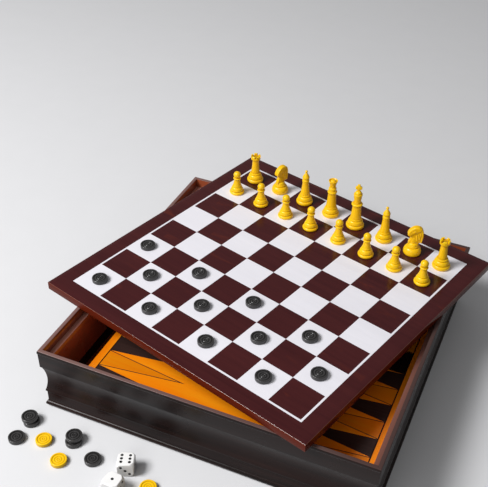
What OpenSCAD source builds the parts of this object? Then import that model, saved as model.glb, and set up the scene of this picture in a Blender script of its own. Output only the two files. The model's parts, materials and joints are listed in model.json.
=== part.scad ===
// Games compendium, laid out for play: a square moulded wooden case with a lift-out
// backgammon panel over a storage floor, and a chessboard that lies askew on the rim.
// Millimetres, +Z up. The origin is the centre of the case's underside. X runs along
// the front wall and Y towards the back wall.

/* [Chessboard] */
// Side of one square of the chessboard
square = 34; // [32:0.5:38]
// Plain border between the field and the board's edge
board_margin = 19; // [12:0.5:24]
// Thickness of the chessboard
board_t = 8.5; // [6:0.5:12]
// Width of the wooden edging round the board
edging_w = 5; // [3:0.5:8]
// Thickness of the baize on the board's underside
lining_t = 1; // [0.5:0.1:2]
// Width of the bevel along the board's edges
edge_ease = 0.6; // [0.2:0.1:1.2]
// Width of the pale line round the field
line_w = 2; // [1:0.1:5]
// Thickness of the veneer inlays
inlay_t = 0.6; // [0.4:0.1:1.2]
// Angle that the board is turned on the rim, in degrees
board_turn = -16.15; // [-20:0.05:0]
// Distance of the board's centre from the case's centre, along X
board_dx = -6.8; // [-12:0.2:12]
// Distance of the board's centre from the case's centre, along Y
board_dy = 24; // [-12:0.5:30]

/* [Case] */
// Gap between the packed board and the rim, on each side
seat_gap = 1; // [0.5:0.1:2]
// Depth of the seat that the packed board drops into
seat_depth = 10; // [9:0.5:14]
// Width of the ledge that carries the packed board
ledge_w = 5.2; // [4:0.2:8]
// Thickness of the rim boards
rim_t = 4; // [3:0.2:6]
// Height of the rim boards
rim_h = 20; // [17:0.5:26]
// How far the lip stands proud of the rim boards
lip_over = 0.6; // [0.3:0.1:1.5]
// Height of the lip
lip_h = 4; // [2:0.2:6]
// Height of the moulded wall between the base rails and the rim boards
wall_h = 31; // [28:0.5:40]
// How far the moulded wall is set in from the rim boards
wall_set = 1.2; // [0.5:0.1:2]
// Depth of the hollow moulding in the wall
cove_depth = 2.4; // [1:0.1:3.2]
// Flat left above and below the hollow moulding
cove_flat = 1; // [0.5:0.1:3]
// Height of the base rails
base_h = 17.5; // [14:0.5:24]
// How far the base rails are set in from the rim boards
base_set = 2.3; // [1:0.1:3]
// Height of the plinth bead at the foot of the base rails
plinth_h = 4; // [3:0.5:7]
// How far the plinth bead stands out from the base rails
plinth_out = 2.1; // [1:0.1:4]
// Thickness of the bottom panel
bottom_t = 5; // [3:0.5:7]
// Width of the rebate that the bottom panel sits in
rebate_w = 3; // [2:0.2:4]
// Thickness of the baize that the case stands on
felt_t = 1.5; // [1:0.1:3]
// How far the baize stays inside the base rails' outer face
felt_set = 2; // [1:0.5:6]

/* [Storage] */
// Depth of the backgammon panel below the rim
panel_depth = 34; // [30:0.5:36]
// Thickness of the backgammon panel
panel_t = 4; // [3:0.5:5]
// Gap round the backgammon panel
panel_gap = 0.4; // [0.2:0.1:1]
// Width of the open trough along the left wall
trough_w = 21.6; // [20:0.2:24]
// Thickness of the dividers
divider_t = 4; // [3:0.5:6]
// Place of the long divider, as a distance from the case's centre
divider_x = 14; // [10:0.5:20]
// Place of the cross dividers in the right bay, as a distance from the centre
divider_y = 50; // [45:0.5:55]
// Side of the square strips that the backgammon panel rests on
rest_w = 4; // [3:0.5:6]

/* [Backgammon panel] */
// Width of the two side bars
side_bar_w = 7.1; // [5:0.1:9]
// Dark gap between a side bar and the field
bar_gap = 1.2; // [0.8:0.1:2]
// Dark border in front of and behind the field
field_border = 6.8; // [4:0.2:10]
// Dark gap between the front and the back table
table_gap = 30.6; // [24:0.2:36]
// Length of a point
point_length = 84; // [76:1:100]
// Width of the dark outline of the pale points
outline_w = 0.8; // [0.6:0.1:1.4]

/* [Draughtsmen] */
// Diameter of a disc
disc_d = 15.1; // [14:0.1:17]
// Thickness of a disc
disc_t = 4; // [3.6:0.1:4.6]
// Width of the outer rim of a disc
disc_rim = 1.1; // [0.8:0.1:1.6]
// Width of the raised ring inside the rim
ring_w = 1.5; // [1:0.1:2]
// Width of the grooves beside the ring
groove_w = 0.9; // [0.5:0.1:1.2]
// Depth of the grooves
groove_depth = 0.5; // [0.3:0.1:0.8]

/* [Dice] */
// Edge of a die
die_w = 15; // [13:0.5:17]
// How far the ball that rounds the corners reaches past the middle of the edges
die_ease = 0.5; // [0.1:0.1:1]
// Diameter of a pip
pip_d = 2.7; // [1.6:0.1:3]
// Depth of a pip
pip_depth = 0.5; // [0.3:0.1:0.8]
// Distance of the outer pips from the face's centre
pip_reach = 3.7; // [3:0.1:4.2]

/* [Chess men] */
// Height of the king
king_h = 52; // [46:0.5:56]
// Radius of the king's foot
king_r = 9.6; // [8.5:0.1:10]
// Height of the queen
queen_h = 44; // [41:0.5:48]
// Radius of the queen's foot
queen_r = 9.2; // [8.5:0.1:10]
// Height of a bishop
bishop_h = 41; // [38:0.5:44]
// Radius of a bishop's foot
bishop_r = 9; // [8:0.1:9.5]
// Height of a knight
knight_h = 32.5; // [31:0.5:36]
// Radius of a knight's foot
knight_r = 9.1; // [8.4:0.1:9.6]
// Thickness of a knight's head
knight_t = 6.5; // [5:0.5:9]
// Height of a rook
rook_h = 33; // [31:0.5:38]
// Radius of a rook's foot
rook_r = 9.1; // [8.4:0.1:9.6]
// Height of a pawn
pawn_h = 27; // [25:0.5:29]
// Radius of a pawn's foot
pawn_r = 8.1; // [7.4:0.1:8.6]
// Radius of the ball on a pawn
pawn_ball = 4; // [3.5:0.1:4.4]
// Height of the cushion at the foot of the larger men
cushion_h = 5.2; // [4:0.1:6]
// Height at which the second tier of their foot ends
tier_h = 9.3; // [8.4:0.1:10]
// Height of the cushion at the foot of a pawn
pawn_cushion_h = 4.1; // [3:0.1:5]
// Height at which the second tier of its foot ends
pawn_tier_h = 8.4; // [7.4:0.1:9]
// Height of the round ring above the foot
foot_ring_h = 2; // [1.4:0.1:2.4]

/* [Sticks and stones] */
// Diameter of a pick-up stick
stick_d = 3; // [2.4:0.1:3.2]
// Length of a pick-up stick
stick_length = 180; // [150:1:220]
// Length of a stick's point
stick_tip = 9; // [5:0.5:14]
// Diameter of a glass stone
stone_d = 14; // [12:0.5:15]
// Thickness of a glass stone
stone_t = 7; // [5:0.5:8]

/* [Hidden] */

// Colours
case_brown = [0.13, 0.09, 0.085];
rim_brown = [0.30, 0.19, 0.17];
maroon = [0.30, 0.13, 0.13];
white_veneer = [0.94, 0.93, 0.96];
orange_veneer = [0.95, 0.55, 0.10];
yellow_plastic = [0.96, 0.75, 0.08];
black_plastic = [0.16, 0.16, 0.17];

// Play left between pieces that are packed beside or on each other
rest_play = 0.3;
// Play between stacked discs, and the saw kerf between glued strips
stack_play = 0.05;
// Height left free over the stored discs
lift_room = 4.5;
$fn = 48;

// Widths in plan, all measured from the case's centre
field_half = 4 * square;
line_half = field_half + line_w;
board_half = field_half + board_margin;
seat_half = board_half + seat_gap;
in_half = seat_half - ledge_w;
lip_half = seat_half + rim_t;
rim_half = lip_half - lip_over;
wall_half = rim_half - wall_set;
base_half = rim_half - base_set;
bottom_half = in_half + rebate_w;

// Heights from the surface that the case stands on
floor_z = felt_t + bottom_t;
wall_z = felt_t + base_h;
rim_z = wall_z + wall_h;
case_h = rim_z + rim_h;
ledge_z = case_h - seat_depth;
panel_top = case_h - panel_depth;
panel_z = panel_top - panel_t;
board_top = case_h + board_t;

// The backgammon panel and the bays under it
panel_x0 = -in_half + trough_w;
panel_x1 = in_half - panel_gap;
panel_half = in_half - panel_gap;
bay_x0 = panel_x0 + divider_t;
table_x0 = panel_x0 + side_bar_w + bar_gap;
table_x1 = panel_x1 - side_bar_w - bar_gap;
table_half = panel_half - field_border;
point_w = (table_half - table_gap / 2) / 6;

// Angle of a mitred side, from the front, round by the right
function side_turn(side) =
  side == "front" ? 0 : side == "right" ? 90 : side == "back" ? 180 : 270;

// Points along an elliptical arc
function arc(cx, cy, rx, ry, a0, a1, n) =
  [for (i = [0:n]) let (a = a0 + (a1 - a0) * i / n) [cx + rx * cos(a), cy + ry * sin(a)]];

// Radius of a circle through the ends of a chord, from the chord and its rise
function rise_radius(chord, rise) = (chord * chord / 4 + rise * rise) / (2 * rise);

// One side of a mitred frame. The section's points are [distance from the centre, height].
module mitred_side(turn, section, reach, kerf = 0) {
  rotate([0, 0, turn]) intersection() {
    rotate([90, 0, 90]) linear_extrude(2 * reach, center = true)
      polygon([for (p = section) [-p[0], p[1]]]);
    linear_extrude(case_h + 1)
      polygon([[0, -kerf], [kerf - reach, -reach], [reach - kerf, -reach]]);
  }
}

// A flat plate between two corners
module plate(x0, x1, y0, y1, z, t) {
  translate([x0, y0, z]) cube([x1 - x0, y1 - y0, t]);
}

// A square ring, by its two half widths
module square_ring(outer, inner, z, t) {
  difference() {
    plate(-outer, outer, -outer, outer, z, t);
    plate(-inner, inner, -inner, inner, z - 1, t + 2);
  }
}

// Case

module base_felt() {
  h = base_half - felt_set;
  color("dimgray") plate(-h, h, -h, h, 0, felt_t);
}

module bottom_panel() {
  color(case_brown) plate(-bottom_half, bottom_half, -bottom_half, bottom_half, felt_t, bottom_t);
}

module base_rail(side) {
  plinth_half = base_half + plinth_out;
  section = [[bottom_half, felt_t], [plinth_half, felt_t], [plinth_half, felt_t + plinth_h],
    [base_half, felt_t + plinth_h + plinth_out], [base_half, wall_z],
    [in_half, wall_z], [in_half, floor_z], [bottom_half, floor_z]];
  color(case_brown) mitred_side(side_turn(side), section, plinth_half);
}
module base_rail_front() { base_rail("front"); }
module base_rail_right() { base_rail("right"); }
module base_rail_back() { base_rail("back"); }
module base_rail_left() { base_rail("left"); }

module wall(side) {
  chord = wall_h - 2 * cove_flat;
  r = rise_radius(chord, cove_depth);
  half_angle = asin(chord / 2 / r);
  cove = arc(wall_half + r - cove_depth, wall_z + wall_h / 2, r, r,
    180 + half_angle, 180 - half_angle, 10);
  section = concat([[in_half, wall_z], [wall_half, wall_z]], cove,
    [[wall_half, rim_z], [seat_half, rim_z], [seat_half, ledge_z], [in_half, ledge_z]]);
  color(case_brown) mitred_side(side_turn(side), section, wall_half);
}
module wall_front() { wall("front"); }
module wall_right() { wall("right"); }
module wall_back() { wall("back"); }
module wall_left() { wall("left"); }

module rim(side) {
  section = [[seat_half, rim_z], [rim_half, rim_z], [rim_half, case_h - lip_h],
    [lip_half, case_h - lip_h + lip_over], [lip_half, case_h - lip_over],
    [rim_half, case_h], [seat_half, case_h]];
  color(rim_brown) mitred_side(side_turn(side), section, lip_half);
}
module rim_front() { rim("front"); }
module rim_right() { rim("right"); }
module rim_back() { rim("back"); }
module rim_left() { rim("left"); }

// Storage floor

module divider(x0, x1, y0, y1) {
  color(case_brown) plate(x0, x1, y0, y1, floor_z, panel_z - floor_z);
}
module trough_divider() { divider(panel_x0, bay_x0, -in_half, in_half); }
module long_divider() {
  divider(divider_x - divider_t / 2, divider_x + divider_t / 2, -in_half, in_half);
}
module cross_dividers() {
  divider(bay_x0, divider_x - divider_t / 2, -divider_t / 2, divider_t / 2);
  for (side = [-1, 1])
    divider(divider_x + divider_t / 2, in_half,
      side * divider_y - divider_t / 2, side * divider_y + divider_t / 2);
}
// Strips under the panel's free edges, cut to fit between the dividers
module panel_rests() {
  z = panel_z - rest_w;
  near = in_half - rest_w;
  color(rim_brown) {
    for (y = [-in_half, near]) {
      plate(bay_x0, divider_x - divider_t / 2, y, y + rest_w, z, rest_w);
      plate(divider_x + divider_t / 2, in_half, y, y + rest_w, z, rest_w);
    }
    plate(near, in_half, -divider_y + divider_t / 2, divider_y - divider_t / 2, z, rest_w);
  }
}

// Backgammon panel

// The plan of a point from its base on the side bar's line to its tip
module point_plan(half_w, len) {
  polygon([[0, -half_w], [len, 0], [0, half_w]]);
}
// Places a shape on point i of the left or the right row, with its tip inwards
module on_point(i, right) {
  row = i < 6 ? -table_half + i * point_w : table_gap / 2 + (i - 6) * point_w;
  translate([right ? table_x1 : table_x0, row + point_w / 2, panel_top - inlay_t])
    mirror([right ? 1 : 0, 0, 0]) children();
}
function is_black(i, right) = (i % 2 == 0) != right;
module every_point(black) {
  for (right = [false, true], i = [0:11])
    if (is_black(i, right) == black) on_point(i, right) children();
}
module tables_plan(z, t) {
  plate(table_x0, table_x1, -table_half, -table_gap / 2, z, t);
  plate(table_x0, table_x1, table_gap / 2, table_half, z, t);
}
module panel_core() {
  color(case_brown) difference() {
    plate(panel_x0, panel_x1, -panel_half, panel_half, panel_z, panel_t);
    tables_plan(panel_top - inlay_t, inlay_t + 1);
    for (x = [panel_x0 - 1, panel_x1 - side_bar_w])
      plate(x, x + side_bar_w + 1, -panel_half - 1, panel_half + 1,
        panel_top - inlay_t, inlay_t + 1);
  }
}
module panel_tables() {
  color(orange_veneer) difference() {
    tables_plan(panel_top - inlay_t, inlay_t);
    for (black = [false, true])
      every_point(black) translate([0, 0, -1]) linear_extrude(2 + inlay_t)
        point_plan(point_w / 2, point_length);
  }
}
module panel_side_bars() {
  color(orange_veneer) for (x = [panel_x0, panel_x1 - side_bar_w])
    plate(x, x + side_bar_w, -panel_half, panel_half, panel_top - inlay_t, inlay_t);
}
module black_points() {
  color(black_plastic) every_point(true) linear_extrude(inlay_t)
    point_plan(point_w / 2, point_length);
}
// Half width and length of the pale point that an outline of even width leaves free
outline_k = sqrt(pow(point_w / 2, 2) + pow(point_length, 2));
pale_half_w = point_w / 2 - outline_w * outline_k / point_length;
pale_len = point_length - outline_w * outline_k / (point_w / 2);
module orange_points() {
  color(orange_veneer) every_point(false) linear_extrude(inlay_t)
    point_plan(pale_half_w, pale_len);
}
module point_outlines() {
  color(black_plastic) every_point(false) difference() {
    linear_extrude(inlay_t) point_plan(point_w / 2, point_length);
    translate([0, 0, -1]) linear_extrude(2 + inlay_t) point_plan(pale_half_w, pale_len);
  }
}

// Chessboard, drawn about its own centre and then laid on the rim

module on_rim(z) {
  translate([board_dx, board_dy, z]) rotate([0, 0, board_turn]) children();
}
module on_square(i, j, off = [0, 0]) {
  on_rim(board_top) translate([(i - 3.5) * square + off[0], (j - 3.5) * square + off[1], 0]) children();
}
function is_light(i, j) = (i + j) % 2 == 0;

core_half = board_half - edging_w;
module board_core() {
  color(maroon) on_rim(case_h) difference() {
    plate(-core_half, core_half, -core_half, core_half, lining_t, board_t - lining_t);
    plate(-line_half, line_half, -line_half, line_half, board_t - inlay_t, 1 + inlay_t);
  }
}
module board_edging() {
  section = [[core_half, 0], [board_half - edge_ease, 0], [board_half, edge_ease],
    [board_half, board_t - edge_ease], [board_half - edge_ease, board_t], [core_half, board_t]];
  color(maroon) on_rim(case_h) for (side = ["front", "right", "back", "left"])
    mitred_side(side_turn(side), section, board_half, stack_play);
}
module board_lining() {
  color("dimgray") on_rim(case_h) plate(-core_half, core_half, -core_half, core_half, 0, lining_t);
}
module board_line() {
  color(white_veneer) on_rim(case_h) square_ring(line_half, field_half, board_t - inlay_t, inlay_t);
}
module squares(light) {
  for (i = [0:7], j = [0:7])
    if (is_light(i, j) == light) on_square(i, j)
      plate(-square / 2, square / 2, -square / 2, square / 2, -inlay_t, inlay_t);
}
module dark_squares() { color(maroon) squares(false); }
module light_squares() { color(white_veneer) squares(true); }

// Chess men, each drawn upright on its own foot

// Radius of each man's stem at its foot and at its top
king_stem = [5.8, 4.5];
queen_stem = [5.5, 4.3];
bishop_stem = [5.2, 3.5];
knight_stem = [5.4, 5];
rook_stem = [4.8, 3.5];
pawn_stem = [4.8, 3.2];

// How far the cushion of a foot bulges, and how far the tier and the ring above it are
// set in from the foot's radius
bulge = 1.6;
tier_set = 1.4;
ring_set = 3.1;
// How far a stem runs into what stands on it, and how soon it narrows: 1 is a straight taper
stem_lap = 0.8;
stem_curve = 1.6;
stem_steps = 5;

// Foot of two tiers with a ring, and the stem on it
module foot_and_stem(foot_r, stem, stem_top, cushion = cushion_h, tier = tier_h) {
  ring_r = foot_r - ring_set;
  neck_r = ring_r - foot_ring_h / 4;
  half = 0.45 * cushion;
  rotate_extrude() polygon(concat([[0, 0]],
    arc(foot_r - bulge, half, bulge, half, -90, 80, 8),
    arc(neck_r, cushion, foot_r - tier_set - neck_r, tier - cushion, 0, 85, 7),
    ring_and_stem(ring_r, tier, stem, stem_top)));
}
// Foot of one tall cushion with a ring, and the stem on it
module plain_foot_and_stem(foot_r, stem, stem_top) {
  ring_r = foot_r - ring_set;
  neck_r = ring_r - foot_ring_h / 4;
  half = 0.45 * cushion_h;
  rotate_extrude() polygon(concat([[0, 0]],
    arc(foot_r - bulge, half, bulge, half, -90, 0, 4),
    arc(neck_r, half, foot_r - neck_r, tier_h - 1 - half, 0, 85, 8),
    ring_and_stem(ring_r, tier_h - 1, stem, stem_top)));
}
function ring_and_stem(ring_r, ring_z, stem, stem_top) = concat(
  arc(ring_r - foot_ring_h / 2, ring_z + foot_ring_h / 2, foot_ring_h / 2, foot_ring_h / 2, -90, 90, 6),
  [for (k = [0:stem_steps]) let (t = k / stem_steps, z = ring_z + foot_ring_h)
    [stem[1] + (stem[0] - stem[1]) * pow(1 - t, stem_curve), z + (stem_top - z) * t]],
  [[stem[1], stem_top + stem_lap], [0, stem_top + stem_lap]]);

// A thin round collar
module collar(r, z, t) {
  rotate_extrude() polygon(concat([[0, z]], arc(r - t / 2, z + t / 2, t / 2, t / 2, -90, 90, 6),
    [[0, z + t]]));
}
module king() {
  collar_z = king_h - 24.6;
  crown_z = king_h - 11;
  foot_and_stem(king_r, king_stem, collar_z);
  collar(5.9, collar_z, 2.4);
  rotate_extrude() polygon(concat([[0, collar_z + 1], [3.6, collar_z + 1], [3.6, collar_z + 3],
    [4.6, crown_z - 0.8], [4.6, crown_z]], arc(1.2, crown_z, 3, 3.4, 10, 80, 6),
    [[0, crown_z + 3.4]]));
  arm = [[-1.5, 0], [-1.2, 2.2], [-3.3, 3.1], [-3.5, 5.8], [-1.8, 6.2], [-1.6, 8.2]];
  other_arm = [for (k = [len(arm) - 1:-1:0]) [-arm[k][0], arm[k][1]]];
  translate([0, 1.1, crown_z + 2.8]) rotate([90, 0, 0]) linear_extrude(2.2)
    polygon(concat(arm, other_arm));
}
module queen() {
  collar_z = queen_h - 15.6;
  foot_and_stem(queen_r, queen_stem, collar_z);
  collar(5.1, collar_z, 2);
  collar(4.2, collar_z + 4.3, 1.8);
  rotate_extrude() polygon(concat([[0, collar_z + 1], [4.1, collar_z + 1], [3.7, collar_z + 4.6],
    [3.3, collar_z + 7], [3.5, queen_h - 6.4], [4.8, queen_h - 1.5], [4.8, queen_h - 0.7],
    [4, queen_h - 0.7], [3.4, queen_h - 1.6]], arc(0, queen_h - 1.8, 3, 1.8, 10, 90, 6)));
}
module bishop() {
  band_z = bishop_h - 14.5;
  foot_and_stem(bishop_r, bishop_stem, band_z);
  rotate_extrude() polygon(concat([[0, band_z], [3.4, band_z], [3.8, band_z + 1.4],
    [3.7, band_z + 3], [3.3, band_z + 3.9]], arc(0.9, band_z + 5.8, 2.9, 5.8, -10, 70, 8),
    [[0.8, band_z + 12.4], [0, band_z + 12.4]]));
  translate([0, 0, bishop_h - 1.5]) sphere(1.5);
}
module rook() {
  crown_z = rook_h - 5.6;
  notch_w = 2.7;
  notch_h = 2.4;
  notches = 5;
  foot_and_stem(rook_r, rook_stem, crown_z);
  difference() {
    rotate_extrude() polygon([[0, crown_z], [3.6, crown_z], [5.2, crown_z + 1.6],
      [5.3, rook_h], [3.5, rook_h], [3.5, rook_h - notch_h], [0, rook_h - notch_h]]);
    for (k = [1:notches]) rotate([0, 0, (k - 0.5) * 360 / notches])
      translate([0, -notch_w / 2, rook_h - notch_h]) cube([6, notch_w, notch_h + 1]);
  }
}
module pawn() {
  ball_z = pawn_h - pawn_ball;
  collar_z = ball_z - pawn_ball - 1;
  foot_and_stem(pawn_r, pawn_stem, collar_z, pawn_cushion_h, pawn_tier_h);
  collar(4.2, collar_z, 1.8);
  translate([0, 0, ball_z]) sphere(pawn_ball);
}
// The head faces the way of -Y, and its mane hangs free behind the neck. Heights are
// counted down from the top of the mane.
module knight() {
  neck_z = tier_h + 1;
  plain_foot_and_stem(knight_r, knight_stem, neck_z + 1);
  h = knight_h;
  head = [[-5, neck_z], [-5.4, h - 19.5], [-4.1, h - 15.5], [-3.2, h - 13.6], [-3.3, h - 12.2],
    [-5.8, h - 10.9], [-6.8, h - 9.4], [-6.9, h - 7.9], [-6.2, h - 5.9], [-4.6, h - 3.5],
    [-2.6, h - 1.6], [-0.4, h - 0.4], [1.8, h], [4.2, h], [6.2, h - 0.9], [7.8, h - 2.9],
    [8.8, h - 5.9], [9.1, h - 9.5], [8.8, h - 14], [8.2, h - 17.5], [7.4, h - 18.9],
    [6.2, h - 19.1], [5, h - 17.6], [4.8, neck_z]];
  translate([-knight_t / 2, 0, 0]) rotate([90, 0, 90]) linear_extrude(knight_t) polygon(head);
}

// White's two rows, on the far side of the board, set down by hand. Each man has its own
// distance from its square's centre, and some are turned.
back_off = [[-0.3, -1.9], [0.3, -0.7], [0.1, -0.3], [1, -0.5], [-1, -1], [1, -1.3], [0.8, -1.1],
  [1, -2]];
pawn_off = [[-0.1, -0.1], [0.7, -1.1], [0.5, -1], [-0.3, -1.3], [0.9, -0.9], [1.6, -1.7],
  [0.9, -1.4], [-0.4, -2.4]];
king_turn = 31;
knight_turns = [-10, -56];
rook_turns = [56, 6];
module on_back_row(i) { on_square(i, 7, back_off[i]) children(); }
module yellow_king() {
  color(yellow_plastic) on_back_row(4) rotate([0, 0, king_turn]) king();
}
module yellow_queen() { color(yellow_plastic) on_back_row(3) queen(); }
module yellow_bishops() { color(yellow_plastic) for (i = [2, 5]) on_back_row(i) bishop(); }
module yellow_knights() {
  color(yellow_plastic) for (k = [0, 1])
    on_back_row([1, 6][k]) rotate([0, 0, knight_turns[k]]) knight();
}
module yellow_rooks() {
  color(yellow_plastic) for (k = [0, 1])
    on_back_row([0, 7][k]) rotate([0, 0, rook_turns[k]]) rook();
}
module yellow_pawns() {
  color(yellow_plastic) for (i = [0:7]) on_square(i, 6, pawn_off[i]) pawn();
}

// Draughtsmen

disc_ease = 0.4;
// Both faces have a rim, a groove, a ring, a second groove and a middle a little lower
module disc() {
  r = disc_d / 2;
  low = disc_t - groove_depth;
  middle = disc_t - groove_depth / 2;
  slope = groove_w / 3;
  groove_1 = r - disc_rim - groove_w;
  ring = groove_1 - ring_w;
  groove_2 = ring - groove_w;
  top = [[0, middle], [groove_2 - slope, middle], [groove_2, low], [ring, low],
    [ring + slope, middle], [groove_1 - slope, middle], [groove_1, low],
    [groove_1 + groove_w, low], [groove_1 + groove_w, disc_t], [r - disc_ease, disc_t],
    [r, disc_t - disc_ease]];
  bottom = [for (k = [len(top) - 1:-1:0]) [top[k][0], disc_t - top[k][1]]];
  rotate_extrude() polygon(concat(top, bottom));
}
// Black's three rows, each disc with its own distance from the middle of its square
disc_squares = [for (i = [0:7], j = [0:2]) if (is_light(i, j)) [i, j]];
disc_off = [[0.1, -1.4], [-3.1, -0.6], [-1.1, 0.7], [-1.1, -1], [-1.4, 0.3], [-1.3, -0.1], [0, 0],
  [-1.7, 1.1], [-1.1, 0.5], [-1.4, -0.7], [-1.1, -2.1], [-1.4, -0.6]];
module board_discs() {
  color(black_plastic) for (k = [0:len(disc_squares) - 1])
    on_square(disc_squares[k][0], disc_squares[k][1], disc_off[k]) disc();
}
// Discs beside the case: distance right of its left face, distance in front of its
// front face, and how many discs lie below
loose_black = [[0.3, 22.3, 0], [-1.2, 22, 1], [-0.3, 44.7, 0], [48.6, 27.1, 0],
  [47.9, 24.6, 1], [74.9, 37.6, 0]];
loose_yellow = [[23.5, 36.8, 0], [48.4, 51.1, 0], [133.9, 44.4, 0]];
module beside_case(at) {
  translate([at[0] - lip_half, -at[1] - lip_half, 0]) children();
}
module loose_discs(places) {
  for (p = places) beside_case(p) translate([0, 0, p[2] * (disc_t + stack_play)]) disc();
}
module loose_black_discs() { color(black_plastic) loose_discs(loose_black); }
module loose_yellow_discs() { color(yellow_plastic) loose_discs(loose_yellow); }

// Dice, each drawn about its own centre with one face towards each axis

// Pip places of a face with n pips, in units of the pips' reach
function pips(n) =
  n == 1 ? [[0, 0]] :
  n == 2 ? [[-1, -1], [1, 1]] :
  n == 3 ? [[-1, 1], [0, 0], [1, -1]] :
  n == 4 ? [[-1, -1], [1, 1], [-1, 1], [1, -1]] :
  n == 5 ? concat(pips(4), [[0, 0]]) :
  concat(pips(4), [[-1, 0], [1, 0]]);
// Rotation that brings the +Z face to the given side
function face_turn(side) =
  side == "top" ? [0, 0, 0] : side == "bottom" ? [180, 0, 0] :
  side == "front" ? [90, 0, 0] : side == "back" ? [-90, 0, 0] :
  side == "right" ? [0, 90, 0] : [0, -90, 0];
module pip_set(faces) {
  for (f = faces) rotate(face_turn(f[0])) for (p = pips(f[1]))
    translate([p[0] * pip_reach, p[1] * pip_reach, die_w / 2 - pip_depth])
      cylinder(h = pip_depth, d = pip_d, $fn = 24);
}
module die_body(faces) {
  difference() {
    intersection() {
      cube(die_w, center = true);
      sphere(die_w / sqrt(2) + die_ease, $fn = 96);
    }
    pip_set(faces);
  }
}
six_faces = [["top", 6], ["front", 3], ["right", 2], ["left", 5], ["back", 4], ["bottom", 1]];
one_faces = [["top", 1], ["front", 2], ["right", 3], ["left", 4], ["back", 5], ["bottom", 6]];
// Places of the dice as for the loose discs, and the angle that each is turned
six_at = [106.9, 33.8];
six_turn = 21.5;
one_at = [107.4, 57.5];
one_turn = -3;
module die_place(at, turn) {
  beside_case(at) translate([0, 0, die_w / 2]) rotate([0, 0, turn]) children();
}
module die_six() { color("white") die_place(six_at, six_turn) die_body(six_faces); }
module die_six_pips() { color("black") die_place(six_at, six_turn) pip_set(six_faces); }
module die_one() { color("white") die_place(one_at, one_turn) die_body(one_faces); }
module die_one_pips() { color("black") die_place(one_at, one_turn) pip_set(one_faces); }

// Black men, lying in the back left bay in rows, head to foot by turns

first_row = divider_t / 2 + rest_play + king_r;
last_row = in_half - rest_w - king_r;
men_pitch = (last_row - first_row) / 7;
// Lays an upright man down along X in a row, with the foot at the near or the far end
module lay_down(row, x0, height, foot_r, flip) {
  translate([flip ? x0 + height : x0, first_row + row * men_pitch,
    floor_z + foot_r + rest_play])
    rotate([0, flip ? -90 : 90, 0]) children();
}
// Where the columns of pawns, of larger men and of knights start, and how far the
// pawns of every second row are moved on
men_gap = 2;
pawn_shift = 8;
pawn_x = bay_x0 + men_gap;
piece_x = pawn_x + pawn_h + pawn_shift + men_gap;
knight_x = piece_x + bishop_h + men_gap;
module black_pawns() {
  color(black_plastic) for (row = [0:7])
    lay_down(row, pawn_x + (row % 2) * pawn_shift, pawn_h, pawn_r, row % 2 == 1) pawn();
}
module black_rooks() {
  color(black_plastic) for (row = [0, 7])
    lay_down(row, piece_x, rook_h, rook_r, row % 2 == 1) rook();
}
module black_knights() {
  color(black_plastic) for (row = [1, 6])
    lay_down(row, knight_x, knight_h, knight_r, row % 2 == 1) knight();
}
module black_bishops() {
  color(black_plastic) for (row = [2, 5])
    lay_down(row, piece_x, bishop_h, bishop_r, row % 2 == 1) bishop();
}
module black_queen() {
  color(black_plastic) lay_down(3, piece_x + pawn_shift, queen_h, queen_r, true) queen();
}
module black_king() {
  color(black_plastic) lay_down(4, piece_x, king_h, king_r, false) king();
}

// Spare yellow discs, in stacks in the back right bay
stack_count = 3;
stack_gap = 4;
disc_pitch = disc_t + stack_play;
stack_height = floor((panel_z - floor_z - rest_play - lift_room) / disc_pitch);
module stored_yellow_discs() {
  first = disc_d / 2 + stack_gap;
  color(yellow_plastic) for (s = [0:stack_count - 1], k = [0:stack_height - 1])
    translate([divider_x + divider_t / 2 + first + s * (disc_d + stack_gap),
      divider_y + divider_t / 2 + first, floor_z + rest_play + k * disc_pitch]) disc();
}

// Pick-up sticks, in a bundle on the floor of the trough
stick_cols = 6;
stick_rows = 4;
stick_end_gap = 5;
module stick() {
  blunt = stick_d / 6;
  rotate([-90, 0, 0]) rotate_extrude($fn = 16) polygon([[0, 0], [blunt, 0],
    [stick_d / 2, stick_tip], [stick_d / 2, stick_length - stick_tip], [blunt, stick_length],
    [0, stick_length]]);
}
module pick_up_sticks() {
  pitch = stick_d + rest_play / 2;
  first = -in_half + trough_w / 2 - (stick_cols - 1) / 2 * pitch;
  color("firebrick") for (c = [0:stick_cols - 1], r = [0:stick_rows - 1])
    translate([first + c * pitch, in_half - stick_end_gap - stick_length,
      floor_z + rest_play + stick_d / 2 + r * pitch]) stick();
}

// Glass stones, spread in one layer in the front right bay
stone_cols = 6;
stone_rows = 4;
stone_gap = 2;
// Flat underneath and domed on top
module stone() {
  r = stone_d / 2;
  belly = 0.45 * stone_t;
  flat = 0.55 * r;
  rotate_extrude() polygon(concat([[0, 0], [flat, 0]],
    arc(flat, belly, r - flat, belly, -60, 0, 2),
    arc(0, belly, r, stone_t - belly, 22.5, 90, 3)));
}
module glass_stones() {
  pitch = stone_d + stone_gap;
  x0 = divider_x + divider_t / 2 + pitch;
  y0 = -in_half + pitch;
  color("seagreen") for (c = [0:stone_cols - 1], r = [0:stone_rows - 1])
    translate([x0 + c * pitch, y0 + r * pitch, floor_z + rest_play]) stone();
}

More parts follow.
